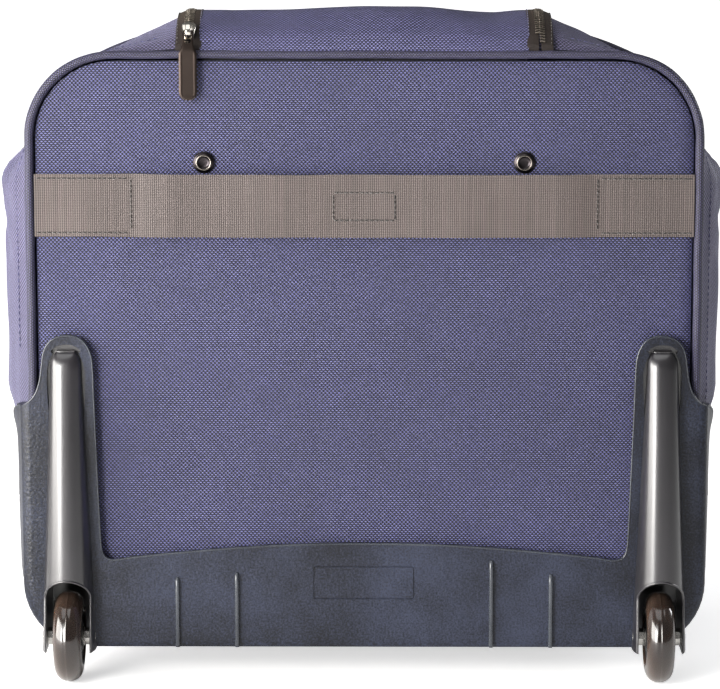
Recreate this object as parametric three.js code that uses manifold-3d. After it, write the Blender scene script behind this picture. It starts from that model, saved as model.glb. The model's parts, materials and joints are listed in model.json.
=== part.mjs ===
// Rolling laptop case: soft body on a moulded base with two wheels, a two-stage
// trolley handle under a zipped top flap, a fold-down front section and a
// front pocket.
// Millimetres. +Z up, floor at z = 0, X is the width. The wheels and trolley are
// at the rear (-Y), the pocket at the front (+Y). Left is -X, seen from the rear.
import * as THREE from "three";
import { mergeVertices } from "three/addons/utils/BufferGeometryUtils.js";
import Module from "manifold-3d";

const wasm = await Module();
wasm.setup();

// ---------------------------------------------------------------- dimensions
const GAP = 0.3; // between touching pieces
const FAR = 300; // half-width of cutting blocks that span the whole case
const SIDES = [
  ["left", -1],
  ["right", 1],
];

// soft body
const PANEL_Y = -84; // outer face of the rear panel
const FRONT_Y = 100; // outer face of the front section
const SPLIT_Y = 52; // main zip line
const BODY_HALF_W = 203.5; // at the rear piping
const BODY_BOTTOM = 24;
const BODY_TOP = 387;
const TOP_CORNER_R = 52;
const BOTTOM_CORNER_R = 42;
const WALL = 2.5;
const SILL_Z = 60; // fold line of the front section

// hump over the stowed grip: an arc in the Y-Z plane
const ARC_Y = -44;
const ARC_Z = 355.2;
const ARC_R = 50.8;
const HUMP_FLAT_X = 112;
const HUMP_END_X = 168;

// rear panel, stiffener and piping
const PANEL_T = 3;
const STIFF_T = 2;
const STIFF_Y = PANEL_Y + PANEL_T + GAP; // rear face of the stiffener
const PIPE_R = 2.8;
const PIPE_HALF_W = BODY_HALF_W - 1;
const PIPE_TOP = BODY_TOP - 3;

// wheels and housings
const WHEEL_X = 181;
const WHEEL_Y = -92;
const WHEEL_R = 28;
const WHEEL_HALF_T = 9;
const AXLE_R = 3;
const HOUSING_W = { top: 9, bottom: 16.5 }; // half-widths
const HOUSING_Z = { bottom: 20.5, top: 204 };
const HOUSING_OUT = { top: 6, bottom: 23.5 }; // how far it stands off the plate
const HOUSING_FRONT_Y = -55.2; // front of the block inside the body
const HOUSING_BLOCK_TOP = 69.5;

// trolley tubes: each stage slides inside the one before
const TUBE_X = 86;
const TUBE_Y = -66;
const TUBE_WALL = 1;
const nextStage = (size) => size.map((width) => width - 2 * (TUBE_WALL + GAP));
const OUTER_TUBE = [18, 12]; // size in x, y
const MIDDLE_TUBE = nextStage(OUTER_TUBE);
const INNER_TUBE = nextStage(MIDDLE_TUBE);
const OUTER_Z = [34.5, 374];
const MIDDLE_Z = [40, 376.9];
const INNER_Z = [46, 386];

// rivets through the rear panel into the trolley bracket
const RIVET_X = 96.5;
const RIVET_Z = 320;
const RIVET_SHANK_R = 2.1;
const RIVET_HEAD_R = 6.4;
const RIVET_END_Y = -74.3;

// ------------------------------------------------------------------- numbers
const lerp = (from, to, share) => from + (to - from) * share;
const clamp = (value, low, high) => Math.min(high, Math.max(low, value));
const smooth = (low, high, value) => {
  const share = clamp((value - low) / (high - low), 0, 1);
  return share * share * (3 - 2 * share);
};

// piecewise linear through [place, value] pairs, level beyond both ends
function interpolate(table, place) {
  if (place <= table[0][0]) return table[0][1];
  for (let i = 1; i < table.length; i++) {
    const [start, from] = table[i - 1];
    const [end, to] = table[i];
    if (place <= end) return lerp(from, to, (place - start) / (end - start));
  }
  return table[table.length - 1][1];
}

// ------------------------------------------------------------------ outlines
const point = (x, y, z) => new THREE.Vector3(x, y, z);
const atZ = (outline, z) => outline.map(([x, y]) => point(x, y, z));
const atY = (outline, y) => outline.map(([x, z]) => point(x, y, z));
const mirrored = (half) => half.map(([x, other]) => [-x, other]).reverse();
const mirroredLoop = (half) => [...half, ...mirrored(half)];
// for a half whose last point lies on the middle line
const mirroredLine = (half) => [...half, ...mirrored(half.slice(0, -1))];

// start is counted in quarter turns from the first axis
function quarterArc(centreX, centreY, radius, steps, start = 0) {
  return Array.from({ length: steps + 1 }, (_, i) => {
    const angle = ((start + i / steps) * Math.PI) / 2;
    return [centreX + radius * Math.cos(angle), centreY + radius * Math.sin(angle)];
  });
}

function roundRect(x0, x1, y0, y1, radius, steps = 4) {
  return [
    ...quarterArc(x1 - radius, y1 - radius, radius, steps, 0),
    ...quarterArc(x0 + radius, y1 - radius, radius, steps, 1),
    ...quarterArc(x0 + radius, y0 + radius, radius, steps, 2),
    ...quarterArc(x1 - radius, y0 + radius, radius, steps, 3),
  ];
}

const centredRect = (x, y, halfX, halfY, radius) =>
  roundRect(x - halfX, x + halfX, y - halfY, y + halfY, radius, 3);

const ellipse = (radiusX, radiusY, count) =>
  Array.from({ length: count }, (_, i) => {
    const angle = (i / count) * 2 * Math.PI;
    return [radiusX * Math.cos(angle), radiusY * Math.sin(angle)];
  });

// right half of a line up the side, round the top corner and in to the middle
const halfArch = (halfW, top, radius, sideHeights, steps) => [
  ...sideHeights.map((z) => [halfW, z]),
  ...quarterArc(halfW - radius, top - radius, radius, steps),
  [75, top],
  [0, top],
];

// -------------------------------------------------------------------- solids
function toSolid(geometry) {
  let bare = geometry.index ? geometry.toNonIndexed() : geometry.clone();
  bare.deleteAttribute("normal");
  bare.deleteAttribute("uv");
  bare = mergeVertices(bare, 1e-3);
  return new wasm.Manifold(
    new wasm.Mesh({
      numProp: 3,
      vertProperties: new Float32Array(bare.attributes.position.array),
      triVerts: new Uint32Array(bare.index.array),
    }),
  );
}

function fromSolid(solid) {
  const mesh = solid.getMesh();
  const positions = new Float32Array(mesh.vertProperties);
  const geometry = new THREE.BufferGeometry();
  geometry.setAttribute("position", new THREE.BufferAttribute(positions, 3));
  geometry.setIndex(new THREE.BufferAttribute(new Uint32Array(mesh.triVerts), 1));
  geometry.computeVertexNormals();
  return geometry;
}

const union = (...solids) => solids.reduce((sum, solid) => sum.add(solid));
const cut = (solid, ...tools) => tools.reduce((rest, tool) => rest.subtract(tool), solid);
const onBothSides = (make) => union(make(-1), make(1));

// solid from a triangle list, turned right side out if need be
function trianglesToSolid(positions, triangles) {
  const make = () => {
    const geometry = new THREE.BufferGeometry();
    geometry.setAttribute("position", new THREE.Float32BufferAttribute(positions, 3));
    geometry.setIndex(triangles);
    return toSolid(geometry);
  };
  const solid = make();
  if (solid.volume() >= 0) return solid;
  for (let i = 0; i < triangles.length; i += 3) {
    [triangles[i + 1], triangles[i + 2]] = [triangles[i + 2], triangles[i + 1]];
  }
  return make();
}

// solid through rings of points, each ring the same length, ends closed by fans
function loft(rings) {
  const count = rings[0].length;
  const positions = rings.flat().flatMap((corner) => corner.toArray());
  const triangles = [];
  for (let i = 0; i + 1 < rings.length; i++) {
    for (let j = 0; j < count; j++) {
      const here = i * count + j;
      const next = i * count + ((j + 1) % count);
      triangles.push(here, next, next + count, here, next + count, here + count);
    }
  }
  const cap = (ring, base, flip) => {
    const centre = ring
      .reduce((sum, corner) => sum.add(corner), point(0, 0, 0))
      .divideScalar(count);
    const hub = positions.length / 3;
    positions.push(...centre.toArray());
    for (let j = 0; j < count; j++) {
      const here = base + j;
      const next = base + ((j + 1) % count);
      triangles.push(hub, ...(flip ? [next, here] : [here, next]));
    }
  };
  cap(rings[0], 0, true);
  cap(rings[rings.length - 1], (rings.length - 1) * count, false);
  return trianglesToSolid(positions, triangles);
}

// solid between two grids of points: surface(u, v, layer), u and v from 0 to 1,
// layer 0 or 1
function slab(surface, stepsU, stepsV) {
  const at = (layer, i, j) => (layer * (stepsU + 1) + i) * (stepsV + 1) + j;
  const positions = [];
  for (let layer = 0; layer < 2; layer++) {
    for (let i = 0; i <= stepsU; i++) {
      for (let j = 0; j <= stepsV; j++) {
        positions.push(...surface(i / stepsU, j / stepsV, layer).toArray());
      }
    }
  }
  const triangles = [];
  const quad = (a, b, c, d) => triangles.push(a, b, c, a, c, d);
  for (let i = 0; i < stepsU; i++) {
    for (let j = 0; j < stepsV; j++) {
      quad(at(1, i, j), at(1, i + 1, j), at(1, i + 1, j + 1), at(1, i, j + 1));
      quad(at(0, i, j), at(0, i, j + 1), at(0, i + 1, j + 1), at(0, i + 1, j));
    }
  }
  for (let i = 0; i < stepsU; i++) {
    quad(at(0, i, 0), at(0, i + 1, 0), at(1, i + 1, 0), at(1, i, 0));
    quad(at(0, i + 1, stepsV), at(0, i, stepsV), at(1, i, stepsV), at(1, i + 1, stepsV));
  }
  for (let j = 0; j < stepsV; j++) {
    quad(at(0, 0, j + 1), at(0, 0, j), at(1, 0, j), at(1, 0, j + 1));
    quad(at(0, stepsU, j), at(0, stepsU, j + 1), at(1, stepsU, j + 1), at(1, stepsU, j));
  }
  return trianglesToSolid(positions, triangles);
}

const toVectors = (outline) => outline.map(([x, y]) => new THREE.Vector2(x, y));

function extrude(outline, depth, holes = []) {
  const shape = new THREE.Shape(toVectors(outline));
  holes.forEach((hole) => shape.holes.push(new THREE.Path(toVectors(hole))));
  return new THREE.ExtrudeGeometry(shape, { depth, bevelEnabled: false });
}

// outline in (x, z), from y0 to y1
const prismXZ = (outline, y0, y1) =>
  toSolid(extrude(outline, y1 - y0).rotateX(Math.PI / 2).translate(0, y1, 0));

// outline in (x, y), from z0 to z1
const prismXY = (outline, z0, z1) => toSolid(extrude(outline, z1 - z0).translate(0, 0, z0));

// outline in (y, z), from x0 to x1
function prismYZ(outline, x0, x1, holes) {
  const axes = new THREE.Matrix4().set(0, 0, 1, x0, 1, 0, 0, 0, 0, 1, 0, 0, 0, 0, 0, 1);
  return toSolid(extrude(outline, x1 - x0, holes).applyMatrix4(axes));
}

function box(x0, x1, y0, y1, z0, z1) {
  const geometry = new THREE.BoxGeometry(x1 - x0, y1 - y0, z1 - z0);
  return toSolid(geometry.translate((x0 + x1) / 2, (y0 + y1) / 2, (z0 + z1) / 2));
}

// cylinder along X, centred on (x, y, z)
function cylX(radius, x, halfLength, y, z, segments) {
  const geometry = new THREE.CylinderGeometry(radius, radius, 2 * halfLength, segments);
  return toSolid(geometry.rotateZ(Math.PI / 2).translate(x, y, z));
}

// cylinder along Y
function cylY(radius, y0, y1, x, z, segments) {
  const geometry = new THREE.CylinderGeometry(radius, radius, y1 - y0, segments);
  return toSolid(geometry.translate(x, (y0 + y1) / 2, z));
}

// [radius, height] profile turned about Y, then placed; reversed if inside out
function lathe(profile, segments, place) {
  const make = (points) =>
    toSolid(place(new THREE.LatheGeometry(toVectors(points), segments)));
  const solid = make(profile);
  return solid.volume() < 0 ? make([...profile].reverse()) : solid;
}

// section swept along a line of points
function sweep(points, section, steps) {
  return toSolid(
    new THREE.ExtrudeGeometry(new THREE.Shape(toVectors(section)), {
      steps,
      extrudePath: new THREE.CatmullRomCurve3(points, false, "centripetal"),
      bevelEnabled: false,
    }),
  );
}

const move = (x, y, z) => new THREE.Matrix4().makeTranslation(x, y, z);
const turnX = (degrees) => new THREE.Matrix4().makeRotationX((degrees * Math.PI) / 180);
const turnZ = (degrees) => new THREE.Matrix4().makeRotationZ((degrees * Math.PI) / 180);
// one matrix that applies the steps in the order given
const chain = (...steps) =>
  steps.reduce((all, step) => step.clone().multiply(all), new THREE.Matrix4());
const placed = (solid, matrix) => toSolid(fromSolid(solid).applyMatrix4(matrix));

// ----------------------------------------------------------------- materials
const MATERIALS = {
  fabric: { color: 0x52548c, roughness: 0.85, metalness: 0 },
  fabric_side: { color: 0x3c3e66, roughness: 0.85, metalness: 0 },
  piping: { color: 0x45477a, roughness: 0.6, metalness: 0 },
  webbing: { color: 0x766a6a, roughness: 0.8, metalness: 0 },
  plastic: { color: 0x2c3540, roughness: 0.5, metalness: 0 },
  plastic_satin: { color: 0x5c5b62, roughness: 0.35, metalness: 0 },
  board: { color: 0x303036, roughness: 0.7, metalness: 0 },
  lining: { color: 0x4c4f57, roughness: 0.9, metalness: 0 },
  zip: { color: 0x2c2420, roughness: 0.8, metalness: 0 },
  chrome: { color: 0xc9c4bd, roughness: 0.2, metalness: 1 },
  bronze: { color: 0x3a342f, roughness: 0.35, metalness: 0.8 },
  gunmetal: { color: 0x2c2a2c, roughness: 0.4, metalness: 0.7 },
  steel: { color: 0xb8b6b2, roughness: 0.3, metalness: 1 },
  aluminium: { color: 0xa9abae, roughness: 0.35, metalness: 1 },
  wheel: { color: 0x2a211c, roughness: 0.25, metalness: 0 },
  hub: { color: 0x3b3a3c, roughness: 0.45, metalness: 0 },
  rubber: { color: 0x1c1c1e, roughness: 0.8, metalness: 0 },
  velcro: { color: 0x2b2828, roughness: 1, metalness: 0 },
};

const root = new THREE.Group();
root.name = "rolling_laptop_case";
const groups = {};

function add(groupName, name, solid, material) {
  if (!groups[groupName]) {
    groups[groupName] = new THREE.Group();
    groups[groupName].name = groupName;
    root.add(groups[groupName]);
  }
  const surface = new THREE.MeshStandardMaterial(MATERIALS[material]);
  const mesh = new THREE.Mesh(fromSolid(solid), surface);
  mesh.name = name;
  groups[groupName].add(mesh);
}

// ------------------------------------------------------------- body surfaces
function arcZ(y) {
  const square = ARC_R * ARC_R - (y - ARC_Y) ** 2;
  return square <= 0 ? BODY_TOP : Math.max(BODY_TOP, ARC_Z + Math.sqrt(square));
}
const humpLift = (x, y) =>
  (arcZ(y) - BODY_TOP) * (1 - smooth(HUMP_FLAT_X, HUMP_END_X, Math.abs(x)));
const topZ = (x, y) => BODY_TOP + humpLift(x, y);

// [y, how far the gusset swells past the piping]
const SWELL_BY_Y = [
  [-81, 0], [-70, 9], [-55, 15], [-30, 18],
  [52, 18], [80, 15], [92, 10], [100, 8],
];
// [z, share of that swelling]
const SWELL_BY_Z = [
  [24, 0.55], [60, 0.8], [120, 0.95], [170, 1],
  [300, 1], [325, 0.75], [350, 0.35], [387, 0.1],
];
// [y, how far the outline draws in towards the front face]
const INSET = [[80, 0], [92, 4], [97.5, 10], [100, 19]];

// outward shift of a point on the right-hand side
const swell = (x, y, z) =>
  interpolate(SWELL_BY_Y, y) * interpolate(SWELL_BY_Z, z) * smooth(140, 200, x);

// body outline at depth y, grown outward by offset
function bodyRing(y, offset = 0) {
  const inset = interpolate(INSET, y) - offset;
  const halfW = BODY_HALF_W - inset;
  const bottom = BODY_BOTTOM + inset;
  const top = BODY_TOP - inset;
  const bottomR = BOTTOM_CORNER_R;
  const topR = TOP_CORNER_R;
  const humpFoot = Math.min(140, halfW - topR - 3);
  // from bottom centre round the +X side to top centre
  const half = [
    [0, bottom],
    ...quarterArc(halfW - bottomR, bottom + bottomR, bottomR, 4, 3),
    [halfW, 130],
    [halfW, 300],
    ...quarterArc(halfW - topR, top - topR, topR, 4),
    [humpFoot, top],
    [Math.min(124, humpFoot - 4), top],
    [HUMP_FLAT_X, top],
    [0, top],
  ].map(([x, z]) => {
    const lift = z >= top - 0.01 ? humpLift(x, y) : 0;
    return [x + swell(x, y, z), z + lift];
  });
  return atY([...half, ...mirrored(half.slice(1, -1))], y);
}

// y of each outline of the body
const STATIONS = [
  -80.7, -76, -70, -62, -53, -44, -35, -26, -18, -10, -4, 52, 80, 92, 97.5, 100,
];
const REAR_STATION = STATIONS[0];

// hollow fabric skin, open at the rear
function gussetSkin() {
  const outside = loft(STATIONS.map((y) => bodyRing(y)));
  const inside = loft([
    bodyRing(REAR_STATION, -WALL).map(({ x, z }) => point(x, -90, z)),
    ...[...STATIONS.slice(0, -2), 96].map((y) => bodyRing(y, -WALL)),
    bodyRing(96, -WALL).map(({ x, z }) =>
      point(x * 0.985, FRONT_Y - WALL, (z - 200) * 0.98 + 200),
    ),
  ]);
  return cut(outside, inside);
}
const gusset = gussetSkin();

// solid a little larger than the body, reaching back to rearY; it shapes what
// wraps round the fabric
function envelope(offset, rearY) {
  const rear = bodyRing(REAR_STATION, offset + 2.1);
  return loft([
    rear.map(({ x, z }) => point(x, rearY, z)),
    rear.map(({ x, z }) => point(x, -82, z)),
    ...[-70, -62, -53, -44, -35, -26, -10, 30].map((y) => bodyRing(y, offset)),
  ]);
}

// clearance round the wheel housings
const WELL_CLEARANCE = 0.4;
const wells = onBothSides((side) =>
  box(
    side * WHEEL_X - HOUSING_W.bottom - WELL_CLEARANCE,
    side * WHEEL_X + HOUSING_W.bottom + WELL_CLEARANCE,
    -140,
    HOUSING_FRONT_Y + WELL_CLEARANCE,
    -5,
    HOUSING_BLOCK_TOP + WELL_CLEARANCE,
  ),
);
const rivetHoles = onBothSides((side) =>
  cylY(RIVET_SHANK_R + GAP, -90, -73.6, side * RIVET_X, RIVET_Z, 12),
);

// --------------------------------------------------------------------- shell
function rearSheet(inset, rearY, thickness) {
  const pipeInset = PIPE_R + 0.8 + inset;
  const halfW = PIPE_HALF_W - pipeInset;
  const top = PIPE_TOP - pipeInset;
  const bottom = BODY_BOTTOM + 3 + inset;
  const topR = TOP_CORNER_R - 4.6;
  const bottomR = BOTTOM_CORNER_R - 3;
  const outline = mirroredLoop([
    ...quarterArc(halfW - bottomR, bottom + bottomR, bottomR, 5, 3),
    ...quarterArc(halfW - topR, top - topR, topR, 6),
  ]);
  return cut(prismXZ(outline, rearY, rearY + thickness), wells, rivetHoles);
}

function rearPiping() {
  const half = halfArch(PIPE_HALF_W, PIPE_TOP, TOP_CORNER_R - 1, [100, 180, 260], 7);
  return sweep(atY(mirroredLine(half), PANEL_Y), ellipse(PIPE_R, PIPE_R, 6), 46);
}

// the gusset behind the main zip line, and the front sill below the fold line
function bodyShell() {
  const gripOpening = prismXY(roundRect(-99.5, 99.5, -79.5, -13, 14), 370, 430);
  const frontSection = box(-FAR, FAR, SPLIT_Y, 140, SILL_Z - GAP, 420);
  return cut(gusset, frontSection, wells, gripOpening);
}

function bottomBoard() {
  const floorZ = BODY_BOTTOM + WALL;
  return box(-155, 155, -52, 76, floorZ + GAP, floorZ + 2.3);
}

add("shell", "back_panel", rearSheet(0, PANEL_Y, PANEL_T), "fabric");
add("shell", "back_stiffener", rearSheet(2.5, STIFF_Y, STIFF_T), "board");
add("shell", "rear_piping", rearPiping(), "piping");
add("shell", "body_shell", bodyShell(), "fabric_side");
add("shell", "bottom_board", bottomBoard(), "board");

// ------------------------------------------------------------------ interior
const LINING_BOTTOM = 31;
const LINING_BOTTOM_HALF_W = 145;

// board in front of the trolley tubes
function trolleyCover() {
  const half = [
    [LINING_BOTTOM_HALF_W, LINING_BOTTOM],
    [193, 72],
    [193, 352],
  ];
  return prismXZ(mirroredLoop(half), -54.6, -52.6);
}

// padded sheet, thickest in the middle
function laptopDivider() {
  const surface = (u, v, layer) => {
    const z = lerp(LINING_BOTTOM, 318, v);
    const halfW = Math.min(196, LINING_BOTTOM_HALF_W + (z - LINING_BOTTOM) * 1.15);
    const puff = 1.8 + 1.2 * Math.sin(Math.PI * u) * Math.sin(Math.PI * v);
    return point(lerp(-halfW, halfW, u), -8 + (layer ? puff : -puff), z);
  };
  return slab(surface, 6, 5);
}

add("interior", "trolley_cover", trolleyCover(), "lining");
add("interior", "laptop_divider", laptopDivider(), "lining");

// ------------------------------------------------------------- luggage strap
const STRAP_W = 38;
const STRAP_Z = 294;
const STRAP_HALF_L = 199;
const STRAP_T = 1.5;
const STRAP_SEAT_Y = PANEL_Y - GAP;
// [x, y] of the front face: flat where it is sewn down, standing off between
const STRAP_LINE = [
  [-STRAP_HALF_L, STRAP_SEAT_Y],
  [-140, STRAP_SEAT_Y], [-120, -87.6], [-60, -88.4], [0, -87.4],
  [60, -88.4], [120, -87.6], [140, STRAP_SEAT_Y],
  [STRAP_HALF_L, STRAP_SEAT_Y],
];

function luggageStrap() {
  const rearFace = STRAP_LINE.map(([x, y]) => [x, y - STRAP_T]).reverse();
  const outline = [...STRAP_LINE, ...rearFace];
  return prismXY(outline, STRAP_Z - STRAP_W / 2, STRAP_Z + STRAP_W / 2);
}
const strapPatch = (y0, y1) => box(-20, 20, y0, y1, 286, 306);

add("strap", "luggage_strap", luggageStrap(), "webbing");
add("strap", "panel_loop_patch", strapPatch(-85.4, STRAP_SEAT_Y), "velcro");
add("strap", "strap_hook_patch", strapPatch(-87.1, -85.7), "velcro");

// ---------------------------------------------------------------- base plate
const PLATE_T = 3.3;
const PLATE_FRONT_FACE_Y = PANEL_Y - PIPE_R - GAP; // just behind the piping
const PLATE_REAR_FACE_Y = PLATE_FRONT_FACE_Y - PLATE_T;
const PLATE_WRAP_Y = -36; // how far the plate reaches forward
// [x, z] of the right half of the top edge, rising to a lobe over the wheel,
// then closed well outside the body
const PLATE_TOP_EDGE = [
  [0, 86], [40, 85.3], [80, 83], [120, 79.5], [143, 77], [152, 75.5],
  [158, 76.5], [161, 80], [162.5, 90], [166.5, 170], [167.8, 195], [169, 203],
  [172.5, 209.5], [178, 212.7], [185, 212.7], [191.5, 210], [195.3, 204],
  [196.8, 195], [197.8, 188], [200, 180], [204, 174.5], [210, 171],
  [217, 169.5], [250, 169.5], [250, -10],
];
// [y, z] of what is cut off the sides, leaving a sloping edge
const PLATE_SIDE_CUT = [
  [-74, 200], [-74, 169], [-60, 160], [-46, 138], [-35, 96], [-30, 96], [-30, 200],
];
// [x, top z] of the upright ribs on the rear face
const PLATE_RIBS = [[-114.5, 65], [-78, 68], [78, 76], [114.5, 67]];
const RIB_HALF_W = 1.25;

function basePlate() {
  const shell = cut(
    envelope(GAP + PLATE_T, PLATE_REAR_FACE_Y),
    envelope(GAP, PLATE_FRONT_FACE_Y),
  );
  const outline = mirroredLine([...PLATE_TOP_EDGE].reverse());
  const ribs = PLATE_RIBS.map(([x, top]) =>
    box(x - RIB_HALF_W, x + RIB_HALF_W, -92, PLATE_REAR_FACE_Y + 0.2, 21.2, top),
  );
  // shallow rectangular groove in the middle of the rear face
  const groove = cut(
    box(-31, 31, -93, -89.7, 51, 72),
    box(-30.2, 30.2, -94, -89, 51.8, 71.2),
  );
  return cut(
    union(shell.intersect(prismXZ(outline, -120, PLATE_WRAP_Y)), ...ribs),
    wells,
    prismYZ(PLATE_SIDE_CUT, -260, 260),
    groove,
    box(-FAR, FAR, -100, 60, -20, 20.4),
  );
}

add("base", "base_plate", basePlate(), "plastic");

// ----------------------------------------------------- wheels, housings, feet
const ARCH_HALF_W = 13.25;
const ARCH_SPRING_Z = 54; // where the arch starts to curve
const ARCH_TOP = 66;
// [z, scale of the section]: the housing closes in at the top
const HOUSING_LEVELS = [
  [HOUSING_Z.bottom, 1], [60, 1], [110, 1], [160, 1], [190, 1], [200, 0.93],
  [HOUSING_Z.top + 1.5, 0.6],
];
const SPACER_R = 5.4;
const SPACER_CENTRE = 11.2; // from the wheel's middle
const SPACER_HALF_L = 1.7;

const axleRod = (radius, centreX, halfLength) =>
  cylX(radius, centreX, halfLength, WHEEL_Y, WHEEL_R, 16);
const axleBore = (centreX) => axleRod(AXLE_R + GAP, centreX, 20);

// tapered housing with an arched opening for the wheel
function wheelHousing(centreX) {
  const baseY = PLATE_REAR_FACE_Y - GAP;
  const rings = HOUSING_LEVELS.map(([z, scale]) => {
    const share = clamp((HOUSING_Z.top - z) / (HOUSING_Z.top - HOUSING_Z.bottom), 0, 1);
    const halfW = lerp(HOUSING_W.top, HOUSING_W.bottom, share) * scale;
    const reach = lerp(HOUSING_OUT.top, HOUSING_OUT.bottom, Math.pow(share, 0.85)) * scale;
    return Array.from({ length: 15 }, (_, i) => {
      const angle = (i / 14) * Math.PI;
      const cosine = Math.cos(angle);
      const across = Math.sign(cosine) * Math.pow(Math.abs(cosine), 0.8);
      const out = Math.pow(Math.sin(angle), 0.8);
      return point(centreX + halfW * across, baseY - reach * out, z);
    });
  });
  const block = box(
    centreX - HOUSING_W.bottom,
    centreX + HOUSING_W.bottom,
    baseY - 0.4,
    HOUSING_FRONT_Y,
    HOUSING_Z.bottom,
    HOUSING_BLOCK_TOP,
  );
  const arch = [
    [centreX - ARCH_HALF_W, -5],
    [centreX + ARCH_HALF_W, -5],
  ];
  for (let i = 0; i <= 9; i++) {
    const angle = (i / 9) * Math.PI;
    arch.push([
      centreX + ARCH_HALF_W * Math.cos(angle),
      ARCH_SPRING_Z + (ARCH_TOP - ARCH_SPRING_Z) * Math.sin(angle),
    ]);
  }
  return cut(
    union(loft(rings), block),
    prismXZ(arch, -140, HOUSING_FRONT_Y - 3),
    axleBore(centreX),
  );
}

// closed profiles of [radius, x from the wheel's middle]
const TYRE_PROFILE = [
  [17, -7.5], [21, -WHEEL_HALF_T], [25, -7.6], [27.4, -4], [WHEEL_R, 0],
  [27.4, 4], [25, 7.6], [21, WHEEL_HALF_T], [17, 7.5],
];
const HUB_PROFILE = [
  [6.3, -8], [9, -8], [10.5, -5.5], [16.7, -7],
  [16.7, 7], [10.5, 5.5], [9, 8], [6.3, 8],
];
const BUSH_PROFILE = [
  [AXLE_R + GAP, -WHEEL_HALF_T], [6, -WHEEL_HALF_T],
  [6, WHEEL_HALF_T], [AXLE_R + GAP, WHEEL_HALF_T],
];

const wheelPart = (profile, centreX, segments) =>
  lathe([...profile, profile[0]], segments, (geometry) =>
    geometry.rotateZ(-Math.PI / 2).translate(centreX, WHEEL_Y, WHEEL_R),
  );

function axleSpacer(centreX, direction) {
  const spacerX = centreX + direction * SPACER_CENTRE;
  return cut(axleRod(SPACER_R, spacerX, SPACER_HALF_L), axleBore(centreX));
}

// [z, half-width, half-depth] from the floor up to the body
const FOOT_LEVELS = [
  [0, 15, 9],
  [1.2, 16.2, 10.2],
  [19, 19, 13],
  [BODY_BOTTOM - GAP, 22, 15],
];
const frontFoot = (x) =>
  loft(
    FOOT_LEVELS.map(([z, halfW, halfD]) => atZ(centredRect(x, 72, halfW, halfD, 5), z)),
  );

for (const [side, sign] of SIDES) {
  const centreX = sign * WHEEL_X;
  const wheel = `wheel_${side}`;
  add("base", `wheel_housing_${side}`, wheelHousing(centreX), "plastic_satin");
  add("base", `axle_${side}`, axleRod(AXLE_R, centreX, 16.2), "steel");
  add("base", `axle_spacer_${side}_inner`, axleSpacer(centreX, -sign), "steel");
  add("base", `axle_spacer_${side}_outer`, axleSpacer(centreX, sign), "steel");
  add(wheel, `tyre_${side}`, wheelPart(TYRE_PROFILE, centreX, 28), "wheel");
  add(wheel, `hub_${side}`, wheelPart(HUB_PROFILE, centreX, 20), "hub");
  add(wheel, `wheel_bush_${side}`, wheelPart(BUSH_PROFILE, centreX, 16), "steel");
  add("base", `front_foot_${side}`, frontFoot(sign * 160), "rubber");
}

// ------------------------------------------------------------------- trolley
const BRACKET_Y = [STIFF_Y + STIFF_T + GAP, -56];
const BRACKET_HALF_W = 104;

function tubeOutline([width, depth], side, grow = 0) {
  const radius = Math.min(width, depth) * 0.32 + grow;
  return centredRect(side * TUBE_X, TUBE_Y, width / 2 + grow, depth / 2 + grow, radius);
}
const tube = (size, side, [z0, z1]) =>
  cut(
    prismXY(tubeOutline(size, side), z0, z1),
    prismXY(tubeOutline(size, side, -TUBE_WALL), z0 - 1, z1 + 1),
  );
const tubeHoles = (size, z0, z1) =>
  onBothSides((side) => prismXY(tubeOutline(size, side, GAP), z0, z1));

// crossbar with a leg down round each outer tube
function topBracket() {
  return cut(
    union(
      prismXY(roundRect(-106, 106, ...BRACKET_Y, 5), 364, 376.5),
      box(74, BRACKET_HALF_W, ...BRACKET_Y, 306, 364.5),
      box(-BRACKET_HALF_W, -74, ...BRACKET_Y, 306, 364.5),
    ),
    tubeHoles(OUTER_TUBE, 300, 380),
    rivetHoles,
  );
}

const bottomBracket = () =>
  cut(
    box(-BRACKET_HALF_W, BRACKET_HALF_W, ...BRACKET_Y, 30, 50),
    tubeHoles(OUTER_TUBE, OUTER_Z[0] - GAP, 60),
  );

const RIVET_SEAT_Y = PANEL_Y - GAP;
// [radius, y] from the shank's end to the dished head
const RIVET_PROFILE = [
  [0, RIVET_END_Y],
  [RIVET_SHANK_R, RIVET_END_Y],
  [RIVET_SHANK_R, RIVET_SEAT_Y],
  [RIVET_HEAD_R, RIVET_SEAT_Y],
  [RIVET_HEAD_R, RIVET_SEAT_Y - 0.9],
  [5.4, RIVET_SEAT_Y - 2.1],
  [4, RIVET_SEAT_Y - 2.3],
  [3.4, RIVET_SEAT_Y - 1.5],
  [0, RIVET_SEAT_Y - 1.5],
];
const rivet = (side) =>
  lathe(RIVET_PROFILE, 18, (geometry) => geometry.translate(side * RIVET_X, 0, RIVET_Z));

add("trolley_fixed", "trolley_top_bracket", topBracket(), "plastic");
add("trolley_fixed", "trolley_bottom_bracket", bottomBracket(), "plastic");
for (const [side, sign] of SIDES) {
  const stages = [
    ["trolley_fixed", "outer", OUTER_TUBE, OUTER_Z],
    ["trolley_middle", "middle", MIDDLE_TUBE, MIDDLE_Z],
    ["trolley_inner", "inner", INNER_TUBE, INNER_Z],
  ];
  for (const [group, stage, size, span] of stages) {
    add(group, `${stage}_tube_${side}`, tube(size, sign, span), "aluminium");
  }
  add("shell", `rivet_${side}`, rivet(sign), "gunmetal");
}

// ---------------------------------------------------------------------- grip
const GRIP_HALF_L = 98;
const GRIP_HALF_D = 10.5;
const GRIP_CORNER_R = 7;
const GRIP_BOTTOM = 378;
const GRIP_SPLIT_Z = 387; // between base and cap
const GRIP_TOP = 396;
const BUTTON_HALF_L = 15;
const BUTTON_HALF_D = 4;
const BUTTON_CLEARANCE = 0.4;

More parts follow.
